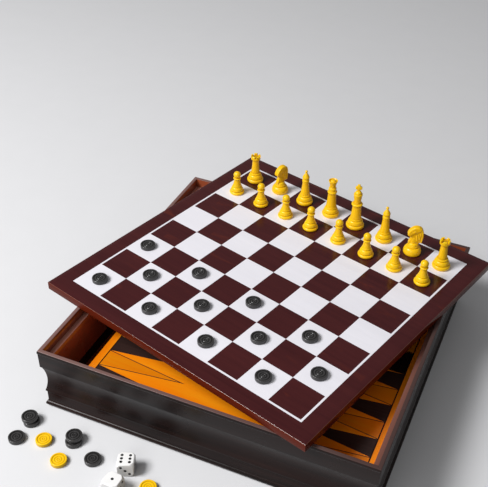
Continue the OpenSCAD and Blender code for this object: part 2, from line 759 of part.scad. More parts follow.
base_felt();
bottom_panel();
base_rail_front();
base_rail_right();
base_rail_back();
base_rail_left();
wall_front();
wall_right();
wall_back();
wall_left();
rim_front();
rim_right();
rim_back();
rim_left();
trough_divider();
long_divider();
cross_dividers();
panel_rests();
panel_core();
panel_tables();
panel_side_bars();
black_points();
orange_points();
point_outlines();
board_core();
board_edging();
board_lining();
board_line();
dark_squares();
light_squares();
yellow_king();
yellow_queen();
yellow_bishops();
yellow_knights();
yellow_rooks();
yellow_pawns();
board_discs();
loose_black_discs();
loose_yellow_discs();
die_six();
die_six_pips();
die_one();
die_one_pips();
black_king();
black_queen();
black_bishops();
black_knights();
black_rooks();
black_pawns();
stored_yellow_discs();
pick_up_sticks();
glass_stones();
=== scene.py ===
import json
from math import cos, hypot, pi, radians, sin

import bpy
from bpy.props import FloatProperty, FloatVectorProperty, IntProperty, PointerProperty
from bpy.types import Operator, Panel, PropertyGroup
from mathutils import Euler, Matrix, Vector

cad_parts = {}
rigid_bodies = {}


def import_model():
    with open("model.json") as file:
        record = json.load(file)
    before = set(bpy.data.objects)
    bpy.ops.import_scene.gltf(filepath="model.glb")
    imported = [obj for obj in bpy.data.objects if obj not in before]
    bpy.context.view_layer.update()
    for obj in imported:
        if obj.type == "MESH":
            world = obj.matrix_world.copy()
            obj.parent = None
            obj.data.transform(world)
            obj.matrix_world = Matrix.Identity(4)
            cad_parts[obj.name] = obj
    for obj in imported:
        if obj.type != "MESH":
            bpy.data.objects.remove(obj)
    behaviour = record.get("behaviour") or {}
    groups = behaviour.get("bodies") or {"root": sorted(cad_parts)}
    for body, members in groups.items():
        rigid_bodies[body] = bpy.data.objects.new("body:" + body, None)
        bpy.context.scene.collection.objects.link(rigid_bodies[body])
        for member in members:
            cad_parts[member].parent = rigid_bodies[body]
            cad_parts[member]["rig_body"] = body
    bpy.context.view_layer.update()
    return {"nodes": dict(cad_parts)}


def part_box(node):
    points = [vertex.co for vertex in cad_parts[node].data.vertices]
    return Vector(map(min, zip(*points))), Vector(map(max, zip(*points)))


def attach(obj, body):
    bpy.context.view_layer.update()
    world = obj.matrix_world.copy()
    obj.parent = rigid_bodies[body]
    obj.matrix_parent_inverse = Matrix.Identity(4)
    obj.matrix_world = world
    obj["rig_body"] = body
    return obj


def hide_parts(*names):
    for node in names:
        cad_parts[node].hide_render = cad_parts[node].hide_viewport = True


bl_info = {
    "name": "Games Compendium",
    "version": (1, 0, 0),
    "blender": (4, 5, 0),
    "location": "View3D > Sidebar > Games",
    "description": "A moulded wooden games case with its board, men, discs, dice, sticks and stones",
    "category": "Object",
}

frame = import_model()
MM = 0.001
# Points closer than this are merged
MERGE_GAP = 0.002 * MM
# Edges that bend by more degrees than this are sharp
SHARP = 32
# Centre of a row of eight squares, counted in squares from the middle of the first one
ROW_CENTRE = 3.5


def srgb(red, green, blue):
    """A colour as it is seen on a screen, from 0 to 255, as the linear values that shaders use."""
    def linear(value):
        value /= 255
        return value / 12.92 if value <= 0.04045 else ((value + 0.055) / 1.055) ** 2.4
    return linear(red), linear(green), linear(blue)


def length(name, description, default):
    return FloatProperty(name=name, description=description, default=default, unit="LENGTH", precision=5)


def colour(name, description, *default):
    return FloatVectorProperty(
        name=name, description=description, default=srgb(*default), subtype="COLOR", min=0, max=1
    )


# Sizes and colours that a user would change

class CaseSizes(PropertyGroup):
    """The case's mouldings."""
    lip_height: length("Lip height", "Height of the lip round the rim", 4 * MM)
    lip_over: length("Lip overhang", "How far the lip stands proud of the rim boards", 0.6 * MM)
    cove_depth: length("Cove depth", "Depth of the hollow moulding", 2.4 * MM)
    cove_flat: length("Cove flat", "Flat above and below the hollow moulding", 1 * MM)
    cove_steps: IntProperty(name="Cove steps", description="Facets across the cove", default=28, min=6)
    plinth_height: length("Plinth height", "Height of the bead at the foot", 4 * MM)
    plinth_out: length("Plinth overhang", "How far the bead stands out", 2.1 * MM)
    arris: length("Arris", "Radius of the rounded arrises", 0.45 * MM)


class BoardSizes(PropertyGroup):
    """The chessboard and the way it lies."""
    square: length("Square", "Side of one square", 34 * MM)
    turn: FloatProperty(
        name="Turn", description="Angle that the board is turned on the rim",
        default=radians(-16.15), unit="ROTATION",
    )
    edging: length("Edging", "Width of the strips round the board", 5 * MM)
    ease: length("Ease", "Radius of the board's long edges", 0.4 * MM)


class MenSizes(PropertyGroup):
    """The chess men."""
    king_height: length("King height", "Height of the king", 52 * MM)
    queen_height: length("Queen height", "Height of the queen", 44 * MM)
    bishop_height: length("Bishop height", "Height of a bishop", 41 * MM)
    knight_height: length("Knight height", "Height of a knight", 32.5 * MM)
    rook_height: length("Rook height", "Height of a rook", 33 * MM)
    pawn_height: length("Pawn height", "Height of a pawn", 27 * MM)
    pawn_shift: length("Pawn shift", "How far every second stored pawn is moved on", 8 * MM)
    steps: IntProperty(name="Steps", description="Facets round a turned piece", default=48, min=12)


class PieceSizes(PropertyGroup):
    """Discs, dice, sticks and stones."""
    disc_diameter: length("Disc diameter", "Diameter of a draughts disc", 15.1 * MM)
    disc_height: length("Disc height", "Thickness of a draughts disc", 4 * MM)
    die_edge: length("Die edge", "Edge of a die", 15 * MM)
    die_round: length("Die round", "Radius of the die's edges", 0.9 * MM)
    pip_diameter: length("Pip diameter", "Diameter of a pip", 2.7 * MM)
    pip_depth: length("Pip depth", "Depth of a pip", 0.5 * MM)
    pip_reach: length("Pip reach", "Distance of the outer pips from the centre", 3.7 * MM)
    stick_diameter: length("Stick diameter", "Diameter of a pick-up stick", 3 * MM)
    stick_tip: length("Stick tip", "Length of a stick's point", 9 * MM)
    stone_diameter: length("Stone diameter", "Diameter of a glass stone", 14 * MM)


class Finishes(PropertyGroup):
    """Colours of the finishes, as seen on a screen."""
    case_dark: colour("Case dark", "Darkest grain of the case's lacquer", 16, 9, 8)
    case_light: colour("Case light", "Lightest grain of the case's lacquer", 42, 25, 22)
    inside: colour("Inside stain", "Stained faces inside the case", 190, 96, 60)
    lip: colour("Lip", "Top of the rim boards", 126, 96, 91)
    ledge: colour("Ledge", "Ledge that carries the packed board", 190, 130, 114)
    maroon_dark: colour("Maroon dark", "Darkest grain of the board", 60, 18, 21)
    maroon_light: colour("Maroon light", "Lightest grain of the board", 72, 26, 27)
    # Painted sheen in patches of the board's figure
    painted_sheen: colour("Figure sheen", "Painted sheen on the figure of the board's grain", 128, 52, 26)
    edge: colour("Board edge", "Solid wood round the board", 95, 32, 16)
    # Painted highlight along the board's rounded arris
    painted_highlight: colour("Arris highlight", "Painted highlight along the board's arris", 190, 132, 108)
    white: colour("White veneer", "Pale squares and the line", 240, 238, 245)
    orange_dark: colour("Orange dark", "Darkest grain of the orange veneer", 255, 132, 10)
    orange_light: colour("Orange light", "Lightest grain of the orange veneer", 255, 158, 20)
    black_veneer: colour("Black veneer", "Dark points and outlines", 46, 32, 29)
    yellow: colour("Yellow plastic", "Yellow men and discs", 255, 198, 12)
    black: colour("Black plastic", "Black men and discs", 36, 35, 35)
    die: colour("Die", "Plastic of the dice", 250, 249, 248)
    baize: colour("Baize", "Lining under the case and the board", 30, 30, 32)
    floor: colour("Floor", "Floor of the studio", 226, 226, 228)
    floor_bounce: colour("Floor bounce", "Floor as the matt sides of the pieces see it", 110, 110, 112)


class CompendiumSettings(PropertyGroup):
    """All the settings of the compendium."""
    case: PointerProperty(type=CaseSizes)
    board: PointerProperty(type=BoardSizes)
    men: PointerProperty(type=MenSizes)
    pieces: PointerProperty(type=PieceSizes)
    finish: PointerProperty(type=Finishes)


def settings():
    return bpy.context.scene.compendium


# Places, from the frame

def middle(node):
    low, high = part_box(node)
    return (Vector(low) + Vector(high)) / 2


def board_half():
    """Half the board's side, from the box round the turned edging."""
    low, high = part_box("board_edging")
    turn = settings().board.turn
    return (high[0] - low[0]) / 2 / (abs(cos(turn)) + abs(sin(turn)))


def board_place():
    """Turns and moves a shape that is drawn about the board's centre, at the board's top."""
    centre = middle("board_edging")
    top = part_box("light_squares")[1][2]
    return Matrix.Translation((centre.x, centre.y, top)) @ Matrix.Rotation(settings().board.turn, 4, "Z")


def square_place(column, row, off=(0, 0)):
    """The middle of a square, or a place some millimetres off it."""
    side = settings().board.square
    spot = ((column - ROW_CENTRE) * side + off[0] * MM, (row - ROW_CENTRE) * side + off[1] * MM, 0)
    return board_place() @ Matrix.Translation(spot)


# Modelling helpers

def switch(mode):
    """Goes into edit or object mode."""
    bpy.ops.object.mode_set(mode=mode)


def deselect():
    """Leaves edit mode and selects nothing."""
    if bpy.context.object and bpy.context.object.mode != "OBJECT":
        switch("OBJECT")
    bpy.ops.object.select_all(action="DESELECT")


def pick(*objects):
    """Selects only these objects, the first one active."""
    deselect()
    for item in objects:
        item.select_set(True)
    bpy.context.view_layer.objects.active = objects[0]
    return objects[0]


def name_piece(piece, name):
    piece.name = name
    piece.data.name = name
    return piece


def join(*pieces):
    """Joins the pieces into the first one."""
    pick(*pieces)
    if len(pieces) > 1:
        bpy.ops.object.join()
    return bpy.context.object


def modify(piece, name, kind, **values):
    """Gives the piece a modifier with these values, and applies it."""
    pick(piece)
    modifier = piece.modifiers.new(name, kind)
    for key, value in values.items():
        setattr(modifier, key, value)
    bpy.ops.object.modifier_apply(modifier=modifier.name)
    return piece


def draw_line(name, points):
    """A line through the points, drawn by extruding one vertex, and left in edit mode."""
    deselect()
    bpy.ops.mesh.primitive_plane_add(size=MM)
    piece = name_piece(bpy.context.object, name)
    switch("EDIT")
    bpy.ops.mesh.merge(type="CENTER")
    bpy.ops.transform.translate(value=points[0])
    for start, end in zip(points, points[1:]):
        step = Vector(end) - Vector(start)
        bpy.ops.mesh.extrude_vertices_move(TRANSFORM_OT_translate={"value": step})
    return piece


def tidy_mesh():
    """Merges what meets and turns all faces outwards, in edit mode, and leaves it."""
    bpy.ops.mesh.select_all(action="SELECT")
    bpy.ops.mesh.remove_doubles(threshold=MERGE_GAP)
    bpy.ops.mesh.normals_make_consistent(inside=False)
    switch("OBJECT")


def turn_on_lathe(name, profile, steps=None):
    """A turned solid about Z. The profile's points are (radius, height)."""
    piece = draw_line(name, [(radius, 0, height) for radius, height in profile])
    bpy.ops.mesh.select_all(action="SELECT")
    bpy.ops.mesh.spin(
        steps=steps or settings().men.steps, angle=2 * pi, center=(0, 0, 0), axis=(0, 0, 1)
    )
    tidy_mesh()
    return piece


def saw_out(name, outline, along):
    """A flat outline that is filled and drawn out into a bar along a vector."""
    piece = draw_line(name, outline)
    bpy.ops.mesh.select_all(action="SELECT")
    bpy.ops.mesh.edge_face_add()
    bpy.ops.mesh.extrude_region_move(TRANSFORM_OT_translate={"value": along})
    tidy_mesh()
    return piece


def arc(centre, radii, start, end, steps):
    """Points along an elliptical arc, from one angle to another in degrees."""
    angles = [radians(start + (end - start) * k / steps) for k in range(steps + 1)]
    return [(centre[0] + radii[0] * cos(a), centre[1] + radii[1] * sin(a)) for a in angles]


def bead(radius, low, high, inner, steps=8):
    """Profile of a round bead from one height to another, that stands out from inner to radius."""
    half = (high - low) / 2
    return arc((inner, low + half), (radius - inner, half), -90, 90, steps)


def cut(piece, tool, operation="DIFFERENCE"):
    """Cuts the piece with a tool and removes the tool. The cut faces keep the tool's material."""
    modify(piece, "Cut", "BOOLEAN", operation=operation, object=tool, solver="EXACT",
           material_mode="TRANSFER")
    bpy.data.objects.remove(tool)
    return piece


def place(piece, matrix):
    """Moves a piece and puts its place into its mesh."""
    pick(piece)
    piece.matrix_world = matrix
    bpy.ops.object.transform_apply(location=True, rotation=True, scale=True)
    return piece


def stamp(pattern, matrices, name):
    """Copies of a pattern at each place, joined into one piece."""
    copies = []
    for matrix in matrices:
        pick(pattern)
        bpy.ops.object.duplicate(linked=False)
        copies.append(place(bpy.context.object, matrix))
    return name_piece(join(*copies), name)


def stamp_in_colours(pattern, materials, spots, name):
    """Copies of a pattern in several materials. A spot is the material's index and the place."""
    groups = []
    for index, material in enumerate(materials):
        matrices = [matrix for chosen, matrix in spots if chosen == index]
        group = stamp(pattern, matrices, f"{name}_{index}")
        group.data.materials.append(material)
        groups.append(group)
    return name_piece(join(*groups), name)


def discard(*patterns):
    for pattern in patterns:
        bpy.data.objects.remove(pattern)


def fit(piece, nodes, material, angle=35):
    """Finishes a piece that stands for CAD nodes: smooth shading, material and body, and hides the nodes."""
    pick(piece)
    bpy.ops.object.shade_smooth_by_angle(angle=radians(angle))
    if material:
        piece.data.materials.clear()
        piece.data.materials.append(material)
    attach(piece, frame["nodes"][nodes[0]]["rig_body"])
    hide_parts(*nodes)
    return piece


def paint(material, *nodes):
    """Gives CAD nodes that keep their own shape a material."""
    for node in nodes:
        mesh = frame["nodes"][node].data
        mesh.materials.clear()
        mesh.materials.append(material)


# Shader helpers

def add(tree, kind, values=None, **attributes):
    """A node with its attributes and the values of its inputs."""
    node = tree.nodes.new(kind)
    for name, value in attributes.items():
        setattr(node, name, value)
    for name, value in (values or {}).items():
        node.inputs[name].default_value = value
    return node


def rgba(tone):
    return (*tone[:3], 1.0)


def times(tone, share):
    """A colour made darker or paler."""
    return [min(1.0, value * share) for value in tone]


def start_group(name, inputs, outputs):
    """A new node group with named sockets. Returns the tree and its input and output nodes."""
    tree = bpy.data.node_groups.new(name, "ShaderNodeTree")
    for socket_name, kind, value in inputs:
        socket = tree.interface.new_socket(socket_name, in_out="INPUT", socket_type=kind)
        if value is not None:
            socket.default_value = value
    for socket_name, kind in outputs:
        tree.interface.new_socket(socket_name, in_out="OUTPUT", socket_type=kind)
    return tree, tree.nodes.new("NodeGroupInput"), tree.nodes.new("NodeGroupOutput")


def math(tree, operation, first, second=None):
    """A Math node on a socket or a number, and a second one."""
    node = tree.nodes.new("ShaderNodeMath")
    node.operation = operation
    for index, value in enumerate((first, second)):
        if isinstance(value, (int, float)):
            node.inputs[index].default_value = value
        elif value is not None:
            tree.links.new(value, node.inputs[index])
    return node.outputs[0]


def ramp(tree, value, low, high, to_low=0.0, to_high=1.0):
    """Maps a value from one range to another, and keeps it inside."""
    node = add(tree, "ShaderNodeMapRange", {
        "From Min": low, "From Max": high, "To Min": to_low, "To Max": to_high,
    })
    tree.links.new(value, node.inputs["Value"])
    return node.outputs["Result"]


def blend(tree, factor, first, second):
    """Mixes two colours, each a socket or a colour."""
    node = tree.nodes.new("ShaderNodeMix")
    node.data_type = "RGBA"
    tree.links.new(factor, node.inputs["Factor"])
    for index, value in ((6, first), (7, second)):
        if isinstance(value, bpy.types.NodeSocket):
            tree.links.new(value, node.inputs[index])
        else:
            node.inputs[index].default_value = rgba(value)
    return node.outputs[2]


def stretched(tree, vector, scale):
    """A vector scaled by a different amount along each axis."""
    node = add(tree, "ShaderNodeVectorMath", operation="MULTIPLY")
    node.inputs[1].default_value = scale
    tree.links.new(vector, node.inputs[0])
    return node.outputs["Vector"]


def noise(tree, vector, scale, detail=3.0, roughness=0.5, distortion=0.0):
    node = add(tree, "ShaderNodeTexNoise", {
        "Scale": scale, "Detail": detail, "Roughness": roughness, "Distortion": distortion,
    })
    tree.links.new(vector, node.inputs["Vector"])
    return node.outputs["Fac"]


def grain_group():
    """Straight grain along X: long streaks, fine pores and a slow change of tone."""
    if "Wood grain" in bpy.data.node_groups:
        return bpy.data.node_groups["Wood grain"]
    tree, given, made = start_group(
        "Wood grain",
        [("Place", "NodeSocketVector", None), ("Dark", "NodeSocketColor", None),
         ("Light", "NodeSocketColor", None), ("Figure", "NodeSocketFloat", 0.5)],
        [("Colour", "NodeSocketColor"), ("Height", "NodeSocketFloat")],
    )
    streaks = noise(tree, stretched(tree, given.outputs["Place"], (9, 260, 260)), 1.0, 5.0, 0.62, 0.35)
    slow = noise(tree, stretched(tree, given.outputs["Place"], (6, 34, 34)), 1.0, 2.0, 0.5, 0.6)
    pores = noise(tree, stretched(tree, given.outputs["Place"], (90, 1900, 1900)), 1.0, 2.0, 0.5)
    mixed = math(tree, "ADD", math(tree, "MULTIPLY", streaks, given.outputs["Figure"]),
                 math(tree, "MULTIPLY", slow, math(tree, "SUBTRACT", 1.0, given.outputs["Figure"])))
    tone = ramp(tree, mixed, 0.34, 0.66)
    pore_mask = ramp(tree, pores, 0.30, 0.42)
    shade = math(tree, "MULTIPLY", tone, ramp(tree, pores, 0.28, 0.45, 0.55, 1.0))
    tree.links.new(blend(tree, shade, given.outputs["Dark"], given.outputs["Light"]), made.inputs["Colour"])
    tree.links.new(pore_mask, made.inputs["Height"])
    return tree


def film_group():
    """A brushed lacquer film: slow waves, a few specks, and duller patches where it is handled."""
    if "Lacquer film" in bpy.data.node_groups:
        return bpy.data.node_groups["Lacquer film"]
    tree, given, made = start_group(
        "Lacquer film",
        [("Place", "NodeSocketVector", None), ("Gloss Roughness", "NodeSocketFloat", 0.2),
         ("Patches", "NodeSocketFloat", 0.1)],
        [("Roughness", "NodeSocketFloat"), ("Height", "NodeSocketFloat")],
    )
    waves = noise(tree, given.outputs["Place"], 160.0, 2.0)
    specks = ramp(tree, noise(tree, given.outputs["Place"], 900.0, 1.0), 0.70, 0.76)
    patches = ramp(tree, noise(tree, given.outputs["Place"], 22.0, 3.0, 0.6), 0.42, 0.68)
    rough = math(tree, "ADD", given.outputs["Gloss Roughness"],
                 math(tree, "MULTIPLY", patches, given.outputs["Patches"]))
    tree.links.new(rough, made.inputs["Roughness"])
    tree.links.new(math(tree, "ADD", waves, math(tree, "MULTIPLY", specks, 0.3)), made.inputs["Height"])
    return tree


def plastic_group():
    """Moulded plastic: a faint flow pattern and fine texture."""
    if "Moulded plastic" in bpy.data.node_groups:
        return bpy.data.node_groups["Moulded plastic"]
    tree, given, made = start_group(
        "Moulded plastic",
        [("Place", "NodeSocketVector", None), ("Dark", "NodeSocketColor", None),
         ("Light", "NodeSocketColor", None), ("Gloss Roughness", "NodeSocketFloat", 0.3)],
        [("Colour", "NodeSocketColor"), ("Roughness", "NodeSocketFloat"), ("Height", "NodeSocketFloat")],
    )
    flow = ramp(tree, noise(tree, given.outputs["Place"], 120.0, 3.0, 0.55, 0.8), 0.3, 0.7)
    fine = noise(tree, given.outputs["Place"], 2400.0, 2.0)
    scuffs = ramp(tree, noise(tree, given.outputs["Place"], 380.0, 4.0, 0.7), 0.52, 0.72)
    tree.links.new(blend(tree, flow, given.outputs["Dark"], given.outputs["Light"]), made.inputs["Colour"])
    rough = math(tree, "ADD", given.outputs["Gloss Roughness"], math(tree, "MULTIPLY", scuffs, 0.16))
    tree.links.new(rough, made.inputs["Roughness"])
    tree.links.new(fine, made.inputs["Height"])
    return tree


def start_material(name, turn=0.0, **shader):
    """A new material. Returns it with its tree, its shader and its place, turned about Z."""
    material = bpy.data.materials.new(name)
    material.use_nodes = True
    tree = material.node_tree
    bsdf = tree.nodes["Principled BSDF"]
    for socket, value in shader.items():
        bsdf.inputs[socket.replace("_", " ")].default_value = value
    spot = tree.nodes.new("ShaderNodeTexCoord")
    turned = add(tree, "ShaderNodeMapping", {"Rotation": (0, 0, turn)})
    tree.links.new(spot.outputs["Object"], turned.inputs["Vector"])
    return material, tree, bsdf, turned.outputs["Vector"]


def use_group(tree, group, place_socket, **values):
    node = tree.nodes.new("ShaderNodeGroup")
    node.node_tree = group
    tree.links.new(place_socket, node.inputs["Place"])
    for name, value in values.items():
        node.inputs[name.replace("_", " ")].default_value = value
    return node


def feed(tree, bsdf, **outputs):
    """Links outputs to the shader's sockets of these names."""
    for socket, output in outputs.items():
        tree.links.new(output, bsdf.inputs[socket.replace("_", " ")])


def bump(tree, bsdf, height, strength, distance):
    node = add(tree, "ShaderNodeBump", {"Strength": strength, "Distance": distance})
    tree.links.new(height, node.inputs["Height"])
    tree.links.new(node.outputs["Normal"], bsdf.inputs["Normal"])


def lacquered_wood(name, dark, light, turn=0.0, figure=0.5, gloss=0.2, specular=0.4, pore_depth=0.35):
    """Stained wood under lacquer. Returns the material, its tree, shader, place and grain colour."""
    material, tree, bsdf, spot = start_material(
        name, turn, Specular_IOR_Level=specular, Coat_Roughness=0.06
    )
    grain = use_group(tree, grain_group(), spot, Dark=rgba(dark), Light=rgba(light), Figure=figure)
    film = use_group(tree, film_group(), spot, Gloss_Roughness=gloss, Patches=0.07)
    feed(tree, bsdf, Base_Color=grain.outputs["Colour"], Roughness=film.outputs["Roughness"])
    height = math(tree, "ADD", math(tree, "MULTIPLY", grain.outputs["Height"], pore_depth),
                  film.outputs["Height"])
    bump(tree, bsdf, height, 0.25, 0.03 * MM)
    return material, tree, bsdf, spot, grain.outputs["Colour"]


# Finishes

# Painted shade: how dark the rim's top and the ledge are painted at the case's right, against its left
PAINTED_SHADE_AT_RIGHT = 0.35


def case_lacquer(along_y, part="plain"):
    """Near-black lacquer with the grain along X or Y. A rim's top and a wall's ledge are paler, and
    faces inside the case are stained brown. The paler tone is darkened from left to right by
    painted shade."""
    finish = settings().finish
    name = f"Dark lacquer {part} {'Y' if along_y else 'X'}"
    if name in bpy.data.materials:
        return bpy.data.materials[name]
    material, tree, bsdf, _, grain = lacquered_wood(
        name, finish.case_dark, finish.case_light, pi / 2 if along_y else 0.0,
        gloss=0.25, specular=0.16,
    )
    if part == "plain":
        return material
    low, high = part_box(f"{part}_front")
    paler = {"rim": finish.lip, "wall": finish.ledge}[part]
    edge = tree.nodes.new("ShaderNodeSeparateXYZ")
    tree.links.new(tree.nodes["Texture Coordinate"].outputs["Object"], edge.inputs["Vector"])
    outward = math(tree, "ABSOLUTE", edge.outputs["X" if along_y else "Y"])
    inner = ramp(tree, outward, -high[1] + 0.1 * MM, -high[1] + 0.02 * MM)
    share = {"rim": 0.6, "wall": 1.0}[part]
    stained = blend(tree, inner, grain, times(finish.inside, share))
    top = ramp(tree, edge.outputs["Z"], high[2] - 0.5 * MM, high[2] - 0.1 * MM)
    # Painted shade: the paler tone darkens from the case's left to its right
    across = ramp(tree, edge.outputs["X"], low[0], high[0])
    paler_with_painted_shade = blend(tree, across, paler, times(paler, PAINTED_SHADE_AT_RIGHT))
    feed(tree, bsdf, Base_Color=blend(tree, top, stained, paler_with_painted_shade), Coat_Weight=inner)
    return material


def inside_stain(along_y):
    """The brown stain of the storage floor and its dividers."""
    inside = settings().finish.inside
    name = f"Inside stain {'Y' if along_y else 'X'}"
    return lacquered_wood(name, times(inside, 0.5), inside, pi / 2 if along_y else 0.0)[0]


def maroon_lacquer(name="Maroon lacquer", specular=0.36):
    """The board's maroon veneer: each square a little different, with painted sheen on the figure in places,
    and a painted highlight along the arris.
    """
    board, finish = settings().board, settings().finish
    material, tree, bsdf, spot, grain = lacquered_wood(
        name, finish.maroon_dark, finish.maroon_light, -board.turn,
        figure=0.5, gloss=0.15, specular=specular,
    )
    cell = add(tree, "ShaderNodeVectorMath", operation="SNAP")
    cell.inputs[1].default_value = (board.square, board.square, 1)
    tree.links.new(spot, cell.inputs[0])
    chance = add(tree, "ShaderNodeTexWhiteNoise", noise_dimensions="3D")
    tree.links.new(cell.outputs["Vector"], chance.inputs["Vector"])
    # Painted sheen: on some squares the figure is painted in a glowing colour
    figure = ramp(tree, noise(tree, stretched(tree, spot, (14, 60, 60)), 1.0, 4.0, 0.6, 1.2), 0.56, 0.74)
    painted_sheen_mask = math(tree, "MULTIPLY", figure, ramp(tree, chance.outputs["Value"], 0.45, 1.0, 0.0, 0.3))
    top = blend(tree, painted_sheen_mask, grain, finish.painted_sheen)
    facing = tree.nodes.new("ShaderNodeNewGeometry")
    split = tree.nodes.new("ShaderNodeSeparateXYZ")
    tree.links.new(facing.outputs["Normal"], split.inputs["Vector"])
    side = ramp(tree, split.outputs["Z"], 0.85, 0.5)
    # Painted highlight along the rounded arris, between the top and the sides
    arris_highlight_mask = math(tree, "MULTIPLY", ramp(tree, split.outputs["Z"], 0.97, 0.85),
               ramp(tree, split.outputs["Z"], 0.3, 0.6))
    sided = blend(tree, side, top, finish.edge)
    feed(tree, bsdf, Base_Color=blend(tree, math(tree, "MULTIPLY", arris_highlight_mask, 0.28), sided, finish.painted_highlight))
    return material


def white_lacquer():
    """White veneer, almost without grain."""
    board, finish = settings().board, settings().finish
    return lacquered_wood(
        "White lacquer", times(finish.white, 0.93), finish.white, -board.turn,
        figure=0.3, gloss=0.32, specular=0.3, pore_depth=0.1,
    )[0]


def orange_lacquer(turn, name, dulled=1.0):
    finish = settings().finish
    dark, light = times(finish.orange_dark, dulled), times(finish.orange_light, dulled)
    return lacquered_wood(name, dark, light, turn, figure=0.45, gloss=0.16, pore_depth=0.2)[0]


def black_lacquer():
    veneer = settings().finish.black_veneer
    return lacquered_wood("Black lacquer", veneer, times(veneer, 1.9), specular=0.35)[0]


def moulded_plastic(name, tone, gloss, specular, depth=0.93, painted_highlight=1.0):
    """Glossy moulded plastic. Its raised edges get a painted highlight, and its grooves painted shade."""
    if name in bpy.data.materials:
        return bpy.data.materials[name]
    material, tree, bsdf, spot = start_material(name, Specular_IOR_Level=specular)
    node = use_group(tree, plastic_group(), spot, Dark=rgba(times(tone, depth)), Light=rgba(tone),
                     Gloss_Roughness=gloss)
    shape = tree.nodes.new("ShaderNodeNewGeometry")
    # Painted highlight on raised edges and painted shade in grooves, found from the surface's pointiness
    painted_ridge_highlight = ramp(tree, shape.outputs["Pointiness"], 0.505, 0.56)
    painted_groove_shade = ramp(tree, shape.outputs["Pointiness"], 0.495, 0.44, 0.0, 0.75)
    raised = blend(tree, painted_ridge_highlight, node.outputs["Colour"], times(tone, painted_highlight))
    feed(tree, bsdf, Base_Color=blend(tree, painted_groove_shade, raised, times(tone, 0.45)),
         Roughness=node.outputs["Roughness"])
    bump(tree, bsdf, node.outputs["Height"], 0.2, 0.015 * MM)
    return material


def yellow_plastic():
    return moulded_plastic("Yellow plastic", settings().finish.yellow, 0.28, 0.4, 0.95, 1.15)


# The black plastic's rings get a strong painted highlight
def black_plastic():
    return moulded_plastic("Black plastic", settings().finish.black, 0.24, 0.5, 0.7, 3.6)


def baize():
    """Short felt: a soft nap with darker and lighter tufts."""
    dark = settings().finish.baize
    material, tree, bsdf, spot = start_material("Baize", Specular_IOR_Level=0.1, Sheen_Weight=0.4)
    tufts = noise(tree, spot, 1500.0, 4.0, 0.7)
    patches = noise(tree, spot, 45.0, 3.0)
    mixed = ramp(tree, math(tree, "ADD", tufts, math(tree, "MULTIPLY", patches, 0.6)), 0.55, 1.05)
    feed(tree, bsdf, Base_Color=blend(tree, mixed, dark, times(dark, 2.2)),
         Roughness=ramp(tree, tufts, 0.3, 0.7, 0.85, 1.0))
    bump(tree, bsdf, tufts, 0.8, 0.2 * MM)
    return material


def stone_glass(name, tone):
    """Pressed coloured glass with a few swirls."""
    material, tree, bsdf, spot = start_material(
        name, Transmission_Weight=0.85, IOR=1.5, Specular_IOR_Level=0.5
    )
    swirl = ramp(tree, noise(tree, spot, 95.0, 3.0, 0.6, 2.0), 0.35, 0.65)
    paler = [min(1.0, value * 1.6 + 0.03) for value in tone]
    feed(tree, bsdf, Base_Color=blend(tree, swirl, tone, paler),
         Roughness=ramp(tree, noise(tree, spot, 260.0, 3.0), 0.4, 0.8, 0.04, 0.14))
    bump(tree, bsdf, noise(tree, spot, 300.0, 2.0), 0.15, 0.05 * MM)
    return material


def brushed_paint(name, tone):
    """Dipped paint on a thin stick, with faint grain showing through."""
    material, tree, bsdf, spot = start_material(name, pi / 2, Specular_IOR_Level=0.4)
    grain = use_group(tree, grain_group(), spot, Dark=rgba(times(tone, 0.72)), Light=rgba(tone),
                      Figure=0.6)
    film = use_group(tree, film_group(), spot, Gloss_Roughness=0.3, Patches=0.15)
    feed(tree, bsdf, Base_Color=grain.outputs["Colour"], Roughness=film.outputs["Roughness"])
    bump(tree, bsdf, grain.outputs["Height"], 0.3, 0.05 * MM)
    return material


# Case

def ease_long_edges(bar, width, inmost):
    """Rounds the sharp edges that run along X, from a given distance outwards."""
    pick(bar)
    switch("EDIT")
    bpy.ops.mesh.select_mode(type="EDGE")
    bpy.ops.mesh.select_all(action="DESELECT")
    bpy.ops.mesh.edges_select_sharp(sharpness=radians(SHARP))
    switch("OBJECT")
    vertices = bar.data.vertices
    chosen = []
    for edge in bar.data.edges:
        start, end = (vertices[k].co for k in edge.vertices)
        level = abs(start.y - end.y) < 0.001 * MM and abs(start.z - end.z) < 0.001 * MM
        if edge.select and level and -start.y > inmost:
            chosen.append(edge.index)
    switch("EDIT")
    bpy.ops.mesh.select_all(action="DESELECT")
    switch("OBJECT")
    for index in chosen:
        bar.data.edges[index].select = True
    switch("EDIT")
    bpy.ops.mesh.bevel(offset=width, segments=3, affect="EDGES")
    bpy.ops.mesh.select_mode(type="VERT")
    switch("OBJECT")


def saw_side(name, section, turn, arris, inmost=0.0):
    """One side of a mitred frame about the centre. The section's points are (distance, height)."""
    reach = max(distance for distance, _ in section) + 2 * MM
    bar = saw_out(name, [(-reach, -distance, height) for distance, height in section], (2 * reach, 0, 0))
    pick(bar)
    switch("EDIT")
    for side in (1, -1):
        bpy.ops.mesh.select_all(action="SELECT")
        bpy.ops.mesh.bisect(
            plane_co=(0, 0, 0), plane_no=(side, 1, 0), use_fill=True, clear_outer=True, threshold=1e-6
        )
    tidy_mesh()
    ease_long_edges(bar, arris, inmost)
    return place(bar, Matrix.Rotation(turn, 4, "Z"))


